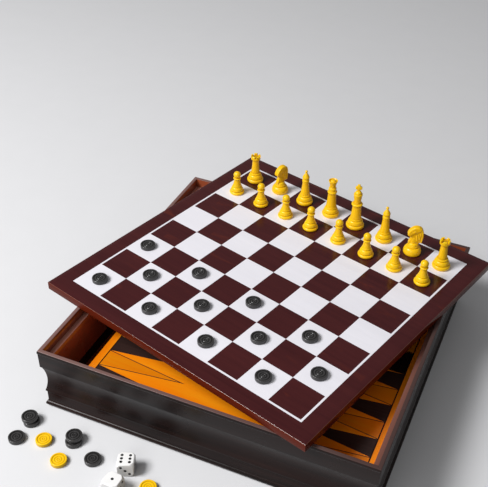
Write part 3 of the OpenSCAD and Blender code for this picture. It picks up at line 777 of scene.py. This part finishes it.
def case_sections():
    """The sections of the base rail, the wall and the rim board, from the frame and the settings."""
    size = settings().case
    (_, out_y, low), (_, inner_y, rail_top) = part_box("base_rail_front")
    (_, wall_y, wall_low), (_, _, ledge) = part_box("wall_front")
    (_, lip_y, rim_low), (_, seat_y, top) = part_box("rim_front")
    plinth, inner, wall, lip, seat = -out_y, -inner_y, -wall_y, -lip_y, -seat_y
    floor_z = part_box("bottom_panel")[1][2]
    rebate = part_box("bottom_panel")[1][0]
    base = plinth - size.plinth_out
    rim = lip - size.lip_over
    step = low + size.plinth_height
    rail = [(rebate, low), *arc((plinth - size.plinth_out / 2, low + size.plinth_height / 2),
                                (size.plinth_out / 2, size.plinth_height / 2), -90, 90, 8),
            (base, step + size.plinth_out * 0.4), (base, rail_top), (inner, rail_top),
            (inner, floor_z), (rebate, floor_z)]
    chord = rim_low - wall_low - 2 * size.cove_flat
    radius = (chord ** 2 / 4 + size.cove_depth ** 2) / (2 * size.cove_depth)
    half_angle = 180 / pi * (chord / 2 / radius)
    cove = arc((wall + radius - size.cove_depth, (wall_low + rim_low) / 2), (radius, radius),
               180 + half_angle, 180 - half_angle, size.cove_steps)
    side = [(inner, wall_low), (wall, wall_low), *cove, (wall, rim_low), (seat, rim_low),
            (seat, ledge), (inner, ledge)]
    board = [(seat, rim_low), (rim, rim_low), (rim, top - size.lip_height),
             *arc((rim, top - size.lip_height / 2), (size.lip_over, size.lip_height / 2), -90, 90, 8),
             (seat, top)]
    return {"base_rail": rail, "wall": side, "rim": board}


class OBJECT_OT_case_mouldings(Operator):
    """Builds the case's mitred base rails, walls and rim boards"""
    bl_idname = "object.case_mouldings"
    bl_label = "Case Mouldings"

    def execute(self, context):
        sides = {"front": 0, "right": pi / 2, "back": pi, "left": -pi / 2}
        kinds = {"base_rail": "plain", "wall": "wall", "rim": "rim"}
        for part, section in case_sections().items():
            for side, turn in sides.items():
                bar = saw_side(f"moulded_{part}_{side}", section, turn, settings().case.arris)
                along_y = side in ("left", "right")
                fit(bar, [f"{part}_{side}"], case_lacquer(along_y, kinds[part]), 30)
        return {"FINISHED"}


class OBJECT_OT_case_inside(Operator):
    """Finishes the bottom, the dividers, the rests, and the baize under the case and the board"""
    bl_idname = "object.case_inside"
    bl_label = "Case Inside"

    def execute(self, context):
        paint(inside_stain(False), "bottom_panel", "cross_dividers", "panel_rests")
        paint(inside_stain(True), "trough_divider", "long_divider")
        paint(baize(), "base_felt", "board_lining")
        return {"FINISHED"}


class OBJECT_OT_backgammon_panel(Operator):
    """Finishes the inlaid backgammon panel"""
    bl_idname = "object.backgammon_panel"
    bl_label = "Backgammon Panel"

    def execute(self, context):
        paint(case_lacquer(True), "panel_core")
        paint(orange_lacquer(0.0, "Orange lacquer tables"), "panel_tables")
        paint(orange_lacquer(pi / 2, "Orange lacquer bars"), "panel_side_bars")
        paint(orange_lacquer(radians(4), "Orange lacquer points", 0.82), "orange_points")
        paint(black_lacquer(), "black_points", "point_outlines")
        return {"FINISHED"}


# Chessboard

class OBJECT_OT_chessboard(Operator):
    """Builds the board's edging and finishes its squares"""
    bl_idname = "object.chessboard"
    bl_label = "Chessboard"

    def execute(self, context):
        board = settings().board
        maroon = maroon_lacquer()
        half = board_half()
        low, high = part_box("board_edging")
        thick = high[2] - low[2]
        section = [(half - board.edging, 0), (half, 0), (half, thick), (half - board.edging, thick)]
        inmost = half - board.edging / 2
        strips = [saw_side(f"strip_{k}", section, k * pi / 2, board.ease, inmost) for k in range(4)]
        edging = name_piece(join(*strips), "eased_board_edging")
        place(edging, board_place() @ Matrix.Translation((0, 0, -thick)))
        fit(edging, ["board_edging"], maroon, 30)
        edging.data.materials.append(maroon_lacquer("Maroon lacquer, thin on the sides", 0.08))
        for face in edging.data.polygons:
            if face.normal.z < 0.5:
                face.material_index = 1
        paint(maroon, "board_core", "dark_squares")
        paint(white_lacquer(), "light_squares", "board_line")
        return {"FINISHED"}


# Chess men, each drawn upright on its own foot, in millimetres

# How far the ring on a foot is set in from the foot's edge
RING_SET = 3.1
# Height that the knight's outlines are drawn at
DRAWN_KNIGHT = 32.5
# Radius of each man's foot
FOOT = {"king": 9.6, "queen": 9.2, "bishop": 9.0, "knight": 9.1, "rook": 9.1, "pawn": 8.1}


def turned_man(name, profile):
    """A turned piece from a profile in millimetres."""
    return turn_on_lathe(name, [(radius * MM, height * MM) for radius, height in profile])


def ring_on_foot(radius, low, high):
    """Profile of the round ring that stands on every foot."""
    return [(radius - 0.6, low - 0.05), *bead(radius, low + 0.05, high, radius - 0.7, 6)]


def foot(radius, cushion=5.2, tier=9.3):
    """Profile of a foot with a cushion, a domed tier on it and a ring."""
    ring = radius - RING_SET
    return [
        (0, 0), (radius - 1.7, 0),
        *arc((radius - 1.6, 0.45 * cushion), (1.6, 0.45 * cushion), -80, 0, 5),
        *arc((radius - 1.6, 0.45 * cushion), (1.6, 0.42 * cushion), 12, 84, 6),
        (radius - 2.1, cushion - 0.4), (radius - 2.1, cushion - 0.05),
        *arc((ring - 0.5, cushion), (radius - 1.4 - ring + 0.5, tier - cushion), 4, 84, 7),
        *ring_on_foot(ring, tier, tier + 2),
    ]


def plain_foot(radius):
    """Profile of a foot with one tall cushion and a ring."""
    ring = radius - RING_SET
    tier = 8.3
    return [
        (0, 0), (radius - 1.7, 0), *arc((radius - 1.6, 2.3), (1.6, 2.3), -80, 0, 5),
        *arc((ring - 0.5, 2.3), (radius - ring + 0.5, tier - 2.3), 9, 84, 8),
        *ring_on_foot(ring, tier, tier + 2),
    ]


def stem(low, high, start, end, steps=7):
    """Profile of a stem that narrows faster at its foot."""
    return [
        (high + (low - high) * (1 - k / steps) ** 1.6, start + (end - start) * k / steps)
        for k in range(steps + 1)
    ]


def king():
    tall = settings().men.king_height / MM
    body = turned_man("king_pattern", [
        *foot(FOOT["king"]), *stem(5.8, 4.5, 11.5, tall - 25), *bead(5.9, tall - 24.8, tall - 22.4, 4.8, 7),
        (3.8, tall - 22.2), (3.6, tall - 21.8), (3.7, tall - 19), (4.1, tall - 15.5), (4.6, tall - 11.8),
        *arc((4.1, tall - 11.5), (0.5, 0.6), 0, 80, 4), (3.7, tall - 10.8),
        *arc((0.9, tall - 10.8), (2.8, 3.2), 12, 82, 6), (1.0, tall - 7.5), (0, tall - 7.5),
    ])
    half = [(-1.3, 0), (-1.2, 1.2), (-1.1, 2.2), (-2.2, 2.5), (-3.2, 3.0), (-3.5, 3.9), (-3.5, 5.0),
            (-3.2, 5.9), (-2.1, 6.0), (-1.6, 6.5), (-1.6, 7.6), (-1.1, 8.3)]
    outline = [*half, *[(-x, z) for x, z in reversed(half)]]
    thick = 2.2 * MM
    low = tall - 8.35
    cross = saw_out(
        "king_cross", [(x * MM, -thick / 2, (low + z) * MM) for x, z in outline], (0, thick, 0)
    )
    modify(cross, "Eased edges", "BEVEL", width=0.3 * MM, segments=2, limit_method="ANGLE",
           angle_limit=radians(50))
    return join(body, cross)


def queen():
    tall = settings().men.queen_height / MM
    return turned_man("queen_pattern", [
        *foot(FOOT["queen"]), *stem(5.5, 4.3, 11.5, tall - 15.8),
        *bead(5.1, tall - 15.6, tall - 13.6, 4.4, 6),
        (4.1, tall - 13.4), (3.95, tall - 13), (3.85, tall - 11.6),
        *bead(4.2, tall - 11.4, tall - 9.5, 3.7, 6), (3.45, tall - 9.2), (3.25, tall - 8.2),
        (3.3, tall - 7), (3.6, tall - 4.6), (4.2, tall - 2.7), (4.8, tall - 1.4),
        *arc((4.5, tall - 1), (0.35, 0.4), -20, 120, 4), (3.9, tall - 1.1), (3.3, tall - 1.7),
        *arc((0, tall - 1.7), (2.9, 1.7), 4, 90, 7),
    ])


def bishop():
    tall = settings().men.bishop_height / MM
    return turned_man("bishop_pattern", [
        *foot(FOOT["bishop"]), *stem(5.2, 3.5, 11.5, tall - 14.8), (3.6, tall - 14.5),
        *arc((3.1, tall - 12.6), (0.75, 1.8), -75, 75, 6), (3.25, tall - 10.7), (3.2, tall - 10.4),
        *arc((2.9, tall - 8.6), (0.9, 1.8), -75, 20, 6), (3.5, tall - 7.5), (2.75, tall - 5.9),
        (2.1, tall - 4.8), (1.35, tall - 3.7), (0.85, tall - 2.95),
        *arc((0, tall - 1.5), (1.5, 1.5), -62, 90, 9),
    ])


def rook():
    """A tower whose crown has five merlons."""
    tall = settings().men.rook_height / MM
    merlons, notch, gap = 5, 2.4, 2.5
    crown, saw_length, clear = 5, 4, 0.02
    body = turned_man("rook_pattern", [
        *foot(FOOT["rook"]), *stem(4.8, 3.5, 11.5, tall - 5.6), (3.6, tall - 5.4), (4.3, tall - 4.7),
        *arc((4.7, tall - 4.0), (0.55, 0.55), -60, 10, 4), (5.3, tall - 2.5), (5.3, tall - 0.3),
        (5.05, tall), (3.7, tall), (3.5, tall - 0.2), (3.5, tall - notch), (0, tall - notch),
    ])
    saws = []
    for k in range(merlons):
        deselect()
        bpy.ops.mesh.primitive_cube_add(size=1)
        turn = Matrix.Rotation(2 * pi * (k + 0.5) / merlons, 4, "Z")
        spot = Matrix.Translation((crown * MM, 0, (tall + clear) * MM))
        shape = Matrix.Diagonal((saw_length * MM, gap * MM, 2 * notch * MM, 1))
        saws.append(place(bpy.context.object, turn @ spot @ shape))
    return cut(body, join(*saws))


def pawn():
    tall = settings().men.pawn_height / MM
    ball = 4.0
    neck = tall - 2 * ball
    return turned_man("pawn_pattern", [
        *foot(FOOT["pawn"], 4.1, 8.4), *stem(4.4, 3.2, 10.6, neck - 1.3), (3.3, neck - 1.1),
        *bead(4.2, neck - 1, neck + 0.7, 3.4, 7), *arc((0, tall - ball), (ball, ball), -54, 90, 13),
    ])


def swelling(spot, radii, tilt=0.0):
    """A stretched ball, tilted about X, that is later blended into a carved piece."""
    deselect()
    bpy.ops.mesh.primitive_uv_sphere_add(segments=16, ring_count=10, radius=MM)
    stretch = Matrix.Rotation(tilt, 4, "X") @ Matrix.Diagonal((*radii, 1))
    return place(bpy.context.object, Matrix.Translation(Vector(spot) * MM) @ stretch)


def slab(outline, half, rise):
    """A flat piece of a carving, drawn in the YZ plane, whose two faces swell out."""
    piece = saw_out("slab", [(-half * MM, y * MM, z * MM) for y, z in outline], (2 * half * MM, 0, 0))
    pick(piece)
    for share in (0.65, 0.35):
        switch("EDIT")
        bpy.ops.mesh.select_mode(type="FACE")
        bpy.ops.mesh.select_all(action="DESELECT")
        switch("OBJECT")
        outmost = max(face.center.x for face in piece.data.polygons)
        for face in piece.data.polygons:
            face.select = abs(face.center.x) > outmost - 0.001 * MM
        switch("EDIT")
        bpy.ops.mesh.inset(thickness=0.5 * MM, depth=rise * share * MM)
    bpy.ops.mesh.select_mode(type="VERT")
    tidy_mesh()
    return piece


def knight():
    """A horse's head with a combed mane on a plain foot. It faces -Y."""
    tall = settings().men.knight_height / MM
    body = turned_man("knight_pattern", [
        *plain_foot(FOOT["knight"]), *stem(5.4, 4.6, 10.5, 12.4, 2), (3.6, 13.2), (0, 13.4),
    ])
    neck = [(-5.2, 10.8), (-5.4, 13), (-5, 15.1), (-4.1, 17), (-3.3, 18.8), (-3.2, 20.4), (-2.8, 23),
            (-1, 28.2), (4.2, 30.2), (7.4, 27.9), (8.5, 25.3), (8.7, 21.5), (8.5, 17.8), (8, 14.9),
            (7.2, 13.7), (6.2, 13.5), (5.2, 13.3), (4.8, 10.8)]
    face = [(-3.4, 20.9), (-4.2, 21.2), (-5.8, 21.7), (-6.8, 23.2), (-6.9, 24.6), (-6.2, 26.6),
            (-4.6, 29), (-2.6, 30.9), (-0.4, 32.1), (1.8, 32.4), (4.2, 32.1), (5.8, 31), (6.4, 29.2),
            (5.6, 27.8), (3.2, 26.3), (0.2, 24.6), (-2.2, 23.2), (-3.1, 22)]
    mane = [(5.6, 31.2), (6.4, 30.9), (7.8, 29.2), (8.8, 26.4), (9.1, 23), (9, 20), (8.7, 17.2),
            (8.2, 14.9), (7.5, 13.7), (6.9, 14.2), (6.9, 17.6), (7, 21.2), (6.8, 25.1), (6, 27.9)]
    pieces = [slab(neck, 1.6, 0.5), slab(face, 2.3, 0.7), slab(mane, 2.1, 0.5),
              swelling((0, 0, 11.6), (3.3, 4.7, 11.5))]
    for side in (-1, 1):
        for y, z, long, lean in ((5.5, 20.4, 6.5, -4), (4.1, 20, 6.3, -2), (2.7, 19.4, 5.9, 2)):
            pieces.append(swelling((side * 2.1, y, z), (0.75, 0.5, long), radians(lean)))
        pieces += [
            swelling((side * 2.3, -0.5, 27), (1.2, 2.5, 1.6), radians(28)),
            swelling((side * 1.9, -5.3, 23.6), (1.2, 1.4, 1.6), radians(-20)),
            swelling((side * 2.9, -2.7, 27.6), (0.45, 0.6, 0.6)),
            swelling((side * 2.7, -5.9, 23.6), (0.4, 0.5, 0.5)),
            swelling((side * 1.4, 1.2, 31.2), (0.8, 0.8, 1.2), radians(-35)),
        ]
    head = join(*pieces)
    modify(head, "One skin", "REMESH", mode="VOXEL", voxel_size=0.26 * MM)
    modify(head, "Soften", "SMOOTH", factor=0.5, iterations=3)
    head.data.transform(Matrix.Diagonal((1, 1, tall / DRAWN_KNIGHT, 1)))
    return join(body, head)


# How far each man stands from the middle of its square, by column, in millimetres
BACK_OFF = [(-0.3, -1.9), (0.3, -0.7), (0.1, -0.3), (1, -0.5), (-1, -1), (1, -1.3), (0.8, -1.1), (1, -2)]
PAWN_OFF = [(-0.1, -0.1), (0.7, -1.1), (0.5, -1), (-0.3, -1.3), (0.9, -0.9), (1.6, -1.7), (0.9, -1.4),
            (-0.4, -2.4)]
# The kinds of men: maker, the columns on the board with the angle that each man is turned, and the
# rows in the bay
MEN = {
    "king": (king, {4: 31}, [4]), "queen": (queen, {3: 0}, [3]),
    "bishops": (bishop, {2: 0, 5: 0}, [2, 5]), "knights": (knight, {1: -10, 6: -56}, [1, 6]),
    "rooks": (rook, {0: 56, 7: 6}, [0, 7]), "pawns": (pawn, dict.fromkeys(range(8), 0), range(8)),
}


def stored_place(row, start, tall, radius):
    """Lays a man down along X in the black men's bay, head to foot by turns."""
    low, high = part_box("black_pawns")
    first = low[1] + FOOT["pawn"] * MM
    last = high[1] - FOOT["pawn"] * MM
    y = first + (last - first) * row / 7
    flip = row % 2 == 1
    turn = Matrix.Rotation(-pi / 2 if flip else pi / 2, 4, "Y")
    return Matrix.Translation((start + tall if flip else start, y, low[2] + radius * MM)) @ turn


class OBJECT_OT_chess_men(Operator):
    """Builds the yellow men on the board and the black men in their bay"""
    bl_idname = "object.chess_men"
    bl_label = "Chess Men"

    def execute(self, context):
        men = settings().men
        for kind, (make, turns, rows) in MEN.items():
            one = kind.rstrip("s")
            tall = getattr(men, f"{one}_height")
            row, offs = (6, PAWN_OFF) if one == "pawn" else (7, BACK_OFF)
            shift = men.pawn_shift if one == "pawn" else 0
            pattern = make()
            places = [square_place(column, row, offs[column]) @ Matrix.Rotation(radians(turn), 4, "Z")
                      for column, turn in turns.items()]
            white = stamp(pattern, places, f"white_{kind}_turned")
            fit(white, [f"yellow_{kind}"], yellow_plastic(), 30)
            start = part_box(f"black_{kind}")[0][0]
            places = [stored_place(k, start + (k % 2) * shift, tall, FOOT[one]) for k in rows]
            black = stamp(pattern, places, f"black_{kind}_turned")
            fit(black, [f"black_{kind}"], black_plastic(), 30)
            discard(pattern)
        return {"FINISHED"}


# Draughtsmen

def disc():
    """A disc with the same turned rings on both faces."""
    size = settings().pieces
    radius, thick = size.disc_diameter / 2, size.disc_height
    low, mid, ease = 0.5 * MM, 0.25 * MM, 0.55 * MM
    drawn_radius = 7.75
    rings = [
        (0, mid), (0.5, mid), (0.75, low), (1.35, low), (1.6, mid), (2.5, mid), (2.8, low), (3.55, low),
        (3.8, mid), (5.0, mid), (5.25, low), (6.05, low), (6.3, 0), (7.2, 0),
    ]
    rings = [(r * radius / drawn_radius, drop) for r, drop in rings]
    edge = arc((radius - ease, ease), (ease, ease), 90, 0, 4)
    face = [(r, thick - drop) for r, drop in rings]
    upper = [*face, *[(r, thick - 2 * ease + z) for r, z in edge][1:]]
    lower = [(r, thick - z) for r, z in reversed(upper)]
    return turn_on_lathe("disc_pattern", [*upper, *lower])


# How far each disc on the board lies from the middle of its square, in millimetres
DISC_OFF = [(0.1, -1.4), (-3.1, -0.6), (-1.1, 0.7), (-1.1, -1), (-1.4, 0.3), (-1.3, -0.1), (0, 0),
            (-1.7, 1.1), (-1.1, 0.5), (-1.4, -0.7), (-1.1, -2.1), (-1.4, -0.6)]
# Discs beside the case, in millimetres: right of its left face, in front of its front face,
# and how many discs lie below
LOOSE_BLACK = [(0.3, 22.3, 0), (-1.2, 22, 1), (-0.3, 44.7, 0), (48.6, 27.1, 0), (47.9, 24.6, 1),
               (74.9, 37.6, 0)]
LOOSE_YELLOW = [(23.5, 36.8, 0), (48.4, 51.1, 0), (133.9, 44.4, 0)]
# Gap between discs that lie on each other
STACK_PLAY = 0.05 * MM


def loose_places(spots):
    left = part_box("rim_left")[0][0]
    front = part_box("rim_front")[0][1]
    pitch = settings().pieces.disc_height + STACK_PLAY
    return [Matrix.Translation((left + x * MM, front - y * MM, below * pitch)) for x, y, below in spots]


class OBJECT_OT_draughtsmen(Operator):
    """Builds the discs on the board, beside the case and in their bay"""
    bl_idname = "object.draughtsmen"
    bl_label = "Draughtsmen"

    def execute(self, context):
        size = settings().pieces
        pattern = disc()
        squares = [(i, j) for i in range(8) for j in range(3) if (i + j) % 2 == 0]
        low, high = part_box("stored_yellow_discs")
        radius = size.disc_diameter / 2
        pitch = size.disc_height + STACK_PLAY
        count = round((high[2] - low[2] - size.disc_height) / pitch) + 1
        step = (high[0] - low[0] - size.disc_diameter) / 2
        stored = [Matrix.Translation((low[0] + radius + s * step, low[1] + radius, low[2] + k * pitch))
                  for s in range(3) for k in range(count)]
        on_board = [square_place(i, j, off) for (i, j), off in zip(squares, DISC_OFF)]
        for node, places, plastic in (
            ("board_discs", on_board, black_plastic),
            ("loose_black_discs", loose_places(LOOSE_BLACK), black_plastic),
            ("loose_yellow_discs", loose_places(LOOSE_YELLOW), yellow_plastic),
            ("stored_yellow_discs", stored, yellow_plastic),
        ):
            fit(stamp(pattern, places, f"{node}_turned"), [node], plastic(), 25)
        discard(pattern)
        return {"FINISHED"}


# Dice

# How far the ball that rounds a die's corners stands out past its edges
CORNER_REACH = 0.35 * MM
CORNERS = [(-1, -1), (1, 1), (-1, 1), (1, -1)]
PIPS = {1: [(0, 0)], 2: CORNERS[:2], 3: [(-1, 1), (0, 0), (1, -1)], 4: CORNERS,
        5: [*CORNERS, (0, 0)], 6: [*CORNERS, (-1, 0), (1, 0)]}
# Turns that bring a face from the top to each side of a die
FACE_TURNS = {
    "top": Euler((0, 0, 0)), "bottom": Euler((pi, 0, 0)), "front": Euler((pi / 2, 0, 0)),
    "back": Euler((-pi / 2, 0, 0)), "right": Euler((0, pi / 2, 0)), "left": Euler((0, -pi / 2, 0)),
}
# Angle that each die is turned, in degrees, and the pips on its faces
DICE = {
    "die_six": (21.5, {"top": 6, "front": 3, "right": 2, "left": 5, "back": 4, "bottom": 1}),
    "die_one": (-3, {"top": 1, "front": 2, "right": 3, "left": 4, "back": 5, "bottom": 6}),
}


def die(name, faces, white, black):
    """A rounded cube with dished pips."""
    size = settings().pieces
    deselect()
    bpy.ops.mesh.primitive_cube_add(size=size.die_edge)
    cube = name_piece(bpy.context.object, name)
    switch("EDIT")
    bpy.ops.mesh.select_all(action="SELECT")
    bpy.ops.mesh.bevel(offset=size.die_round, segments=4, affect="EDGES")
    switch("OBJECT")
    cube.data.materials.append(white)
    deselect()
    corner_reach = hypot(size.die_edge / 2, size.die_edge / 2) + CORNER_REACH
    bpy.ops.mesh.primitive_uv_sphere_add(segments=64, ring_count=40, radius=corner_reach)
    ball = bpy.context.object
    ball.data.materials.append(white)
    cut(cube, ball, "INTERSECT")
    chord = size.pip_diameter / 2
    radius = (chord ** 2 + size.pip_depth ** 2) / (2 * size.pip_depth)
    drills = []
    for side, count in faces.items():
        for x, y in PIPS[count]:
            deselect()
            bpy.ops.mesh.primitive_uv_sphere_add(segments=24, ring_count=24, radius=radius)
            drill = bpy.context.object
            lift = size.die_edge / 2 - size.pip_depth + radius
            spot = Matrix.Translation((x * size.pip_reach, y * size.pip_reach, lift))
            place(drill, FACE_TURNS[side].to_matrix().to_4x4() @ spot)
            drills.append(drill)
    drill = join(*drills)
    drill.data.materials.append(black)
    return cut(cube, drill)


class OBJECT_OT_dice(Operator):
    """Builds the two dice"""
    bl_idname = "object.dice"
    bl_label = "Dice"

    def execute(self, context):
        finish = settings().finish
        white = moulded_plastic("Die plastic", finish.die, 0.2, 0.5, 0.97)
        black = moulded_plastic("Pip paint", srgb(20, 20, 22), 0.5, 0.3, 0.8)
        for node, (turn, faces) in DICE.items():
            cube = die(f"{node}_rounded", faces, white, black)
            place(cube, Matrix.Translation(middle(node)) @ Matrix.Rotation(radians(turn), 4, "Z"))
            fit(cube, [node, f"{node}_pips"], None, 35)
        return {"FINISHED"}


# Sticks and stones

# Room that a stick takes in the bundle, in stick diameters
STICK_ROOM = 1.05
STICK_COLOURS = {"red": (190, 34, 30), "blue": (28, 66, 168), "green": (26, 128, 62), "gold": (236, 182, 30)}
STONE_COLOURS = {"sea": (40, 150, 110), "cobalt": (34, 66, 176), "amber": (220, 130, 24)}


class OBJECT_OT_pick_up_sticks(Operator):
    """Builds the bundle of pick-up sticks in the trough"""
    bl_idname = "object.pick_up_sticks"
    bl_label = "Pick-up Sticks"

    def execute(self, context):
        size = settings().pieces
        low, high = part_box("pick_up_sticks")
        radius, blunt = size.stick_diameter / 2, size.stick_diameter / 6
        long = high[1] - low[1]
        paints = [brushed_paint(f"Stick paint {name}", srgb(*tone)) for name, tone in STICK_COLOURS.items()]
        profile = [
            (0, 0), (blunt * 0.8, 0.1 * MM), (blunt, 0.4 * MM), (radius * 0.86, size.stick_tip * 0.75),
            (radius, size.stick_tip), (radius, long - size.stick_tip),
            (radius * 0.86, long - size.stick_tip * 0.75), (blunt, long - 0.4 * MM),
            (blunt * 0.8, long - 0.1 * MM), (0, long),
        ]
        pattern = turn_on_lathe("stick_pattern", profile, 16)
        columns = round((high[0] - low[0]) / (size.stick_diameter * STICK_ROOM))
        rows = round((high[2] - low[2]) / (size.stick_diameter * STICK_ROOM))
        across = (high[0] - low[0] - size.stick_diameter) / (columns - 1)
        upward = (high[2] - low[2] - size.stick_diameter) / (rows - 1)
        along = Matrix.Rotation(-pi / 2, 4, "X")
        first = Vector((low[0] + radius, low[1], low[2] + radius))
        spots = [((c * 5 + r * 3) % len(paints),
                  Matrix.Translation(first + Vector((c * across, 0, r * upward))) @ along)
                 for c in range(columns) for r in range(rows)]
        sticks = stamp_in_colours(pattern, paints, spots, "painted_sticks")
        fit(sticks, ["pick_up_sticks"], None, 40)
        discard(pattern)
        return {"FINISHED"}


class OBJECT_OT_glass_stones(Operator):
    """Builds the glass stones in their bay"""
    bl_idname = "object.glass_stones"
    bl_label = "Glass Stones"

    def execute(self, context):
        size = settings().pieces
        low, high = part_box("glass_stones")
        radius = size.stone_diameter / 2
        thick = high[2] - low[2]
        belly = 0.45 * thick
        profile = [
            (0, 0), (0.5 * radius, 0), *arc((0.55 * radius, belly), (0.45 * radius, belly), -78, 0, 7),
            *arc((0, belly), (radius, thick - belly), 6, 90, 12),
        ]
        pattern = turn_on_lathe("stone_pattern", profile, 40)
        columns, rows = 6, 4
        across = (high[0] - low[0] - size.stone_diameter) / (columns - 1)
        back = (high[1] - low[1] - size.stone_diameter) / (rows - 1)
        glasses = [stone_glass(f"Stone glass {name}", srgb(*tone)) for name, tone in STONE_COLOURS.items()]
        spots = [((c + 2 * r) % len(glasses),
                  Matrix.Translation((low[0] + radius + c * across, low[1] + radius + r * back, low[2])))
                 for c in range(columns) for r in range(rows)]
        stones = stamp_in_colours(pattern, glasses, spots, "pressed_stones")
        fit(stones, ["glass_stones"], None, 50)
        discard(pattern)
        return {"FINISHED"}


# Stage

# Floor, eye and aim in metres, the roll in degrees, the lens and the sensor in millimetres
FLOOR_SIDE = 8
SENSOR_WIDTH = 36
CAMERA_EYE = (0.23536, -0.62141, 0.62763)
CAMERA_AIM = (-0.0567, 0.0655, 0.0700)
CAMERA_ROLL = 1.21
CAMERA_LENS = 65.99
# Lamps: place, side of the square panel, and power in watts
LAMPS = {
    "Key": ((-1.2, -1.05, 1.7), 0.85, 55),
    "Fill": ((-0.15, -2.1, 1.0), 1.2, 8),
}
WORLD_STRENGTH = 0.2


class OBJECT_OT_studio(Operator):
    """Builds the floor, the lamps and the camera"""
    bl_idname = "object.studio"
    bl_label = "Studio"

    def execute(self, context):
        finish = settings().finish
        deselect()
        bpy.ops.mesh.primitive_plane_add(size=FLOOR_SIDE)
        floor = name_piece(context.object, "studio_floor")
        material, tree, bsdf, spot = start_material("Studio floor", Specular_IOR_Level=0.1, Roughness=0.8)
        seen = blend(tree, noise(tree, spot, 30.0, 4.0), finish.floor, times(finish.floor, 1.03))
        path = tree.nodes.new("ShaderNodeLightPath")
        direct = math(tree, "MAXIMUM", path.outputs["Is Camera Ray"], path.outputs["Is Glossy Ray"])
        direct = math(tree, "MAXIMUM", direct, path.outputs["Is Transmission Ray"])
        feed(tree, bsdf, Base_Color=blend(tree, direct, finish.floor_bounce, seen))
        floor.data.materials.append(material)
        for name, (where, side, power) in LAMPS.items():
            bpy.ops.object.light_add(type="AREA", location=where)
            lamp = context.object
            lamp.name = name
            lamp.data.size = side
            lamp.data.energy = power
            lamp.rotation_euler = (-Vector(where)).to_track_quat("-Z", "Y").to_euler()
        world = bpy.data.worlds.new("Studio")
        world.use_nodes = True
        world.node_tree.nodes["Background"].inputs["Color"].default_value = (1, 1, 1, 1)
        world.node_tree.nodes["Background"].inputs["Strength"].default_value = WORLD_STRENGTH
        context.scene.world = world
        bpy.ops.object.camera_add(location=CAMERA_EYE)
        camera = context.object
        look = Vector(CAMERA_AIM) - Vector(CAMERA_EYE)
        roll = Matrix.Rotation(radians(CAMERA_ROLL), 4, "Z")
        camera.rotation_euler = (look.to_track_quat("-Z", "Y").to_matrix().to_4x4() @ roll).to_euler()
        camera.data.lens = CAMERA_LENS
        camera.data.sensor_width = SENSOR_WIDTH
        camera.data.clip_start = 0.01
        context.scene.camera = camera
        context.scene.view_settings.view_transform = "Standard"
        return {"FINISHED"}


class VIEW3D_PT_compendium(Panel):
    """Lists the compendium's settings and operators"""
    bl_idname = "VIEW3D_PT_compendium"
    bl_label = "Games Compendium"
    bl_space_type = "VIEW_3D"
    bl_region_type = "UI"
    bl_category = "Games"

    def draw(self, context):
        for operator in OPERATORS:
            self.layout.operator(operator.bl_idname)
        for part in CompendiumSettings.__annotations__:
            group = getattr(settings(), part)
            column = self.layout.column(align=True)
            for name in group.__annotations__:
                column.prop(group, name)


SETTINGS = (CaseSizes, BoardSizes, MenSizes, PieceSizes, Finishes, CompendiumSettings)
OPERATORS = (
    OBJECT_OT_studio, OBJECT_OT_case_mouldings, OBJECT_OT_case_inside, OBJECT_OT_backgammon_panel,
    OBJECT_OT_chessboard, OBJECT_OT_chess_men, OBJECT_OT_draughtsmen, OBJECT_OT_dice,
    OBJECT_OT_pick_up_sticks, OBJECT_OT_glass_stones,
)


def register():
    for kind in (*SETTINGS, *OPERATORS, VIEW3D_PT_compendium):
        bpy.utils.register_class(kind)
    bpy.types.Scene.compendium = PointerProperty(type=CompendiumSettings)


def unregister():
    del bpy.types.Scene.compendium
    for kind in reversed((*SETTINGS, *OPERATORS, VIEW3D_PT_compendium)):
        bpy.utils.unregister_class(kind)


def main():
    register()
    for operator in OPERATORS:
        area, action = operator.bl_idname.split(".")
        getattr(getattr(bpy.ops, area), action)()


if __name__ == "__main__":
    main()
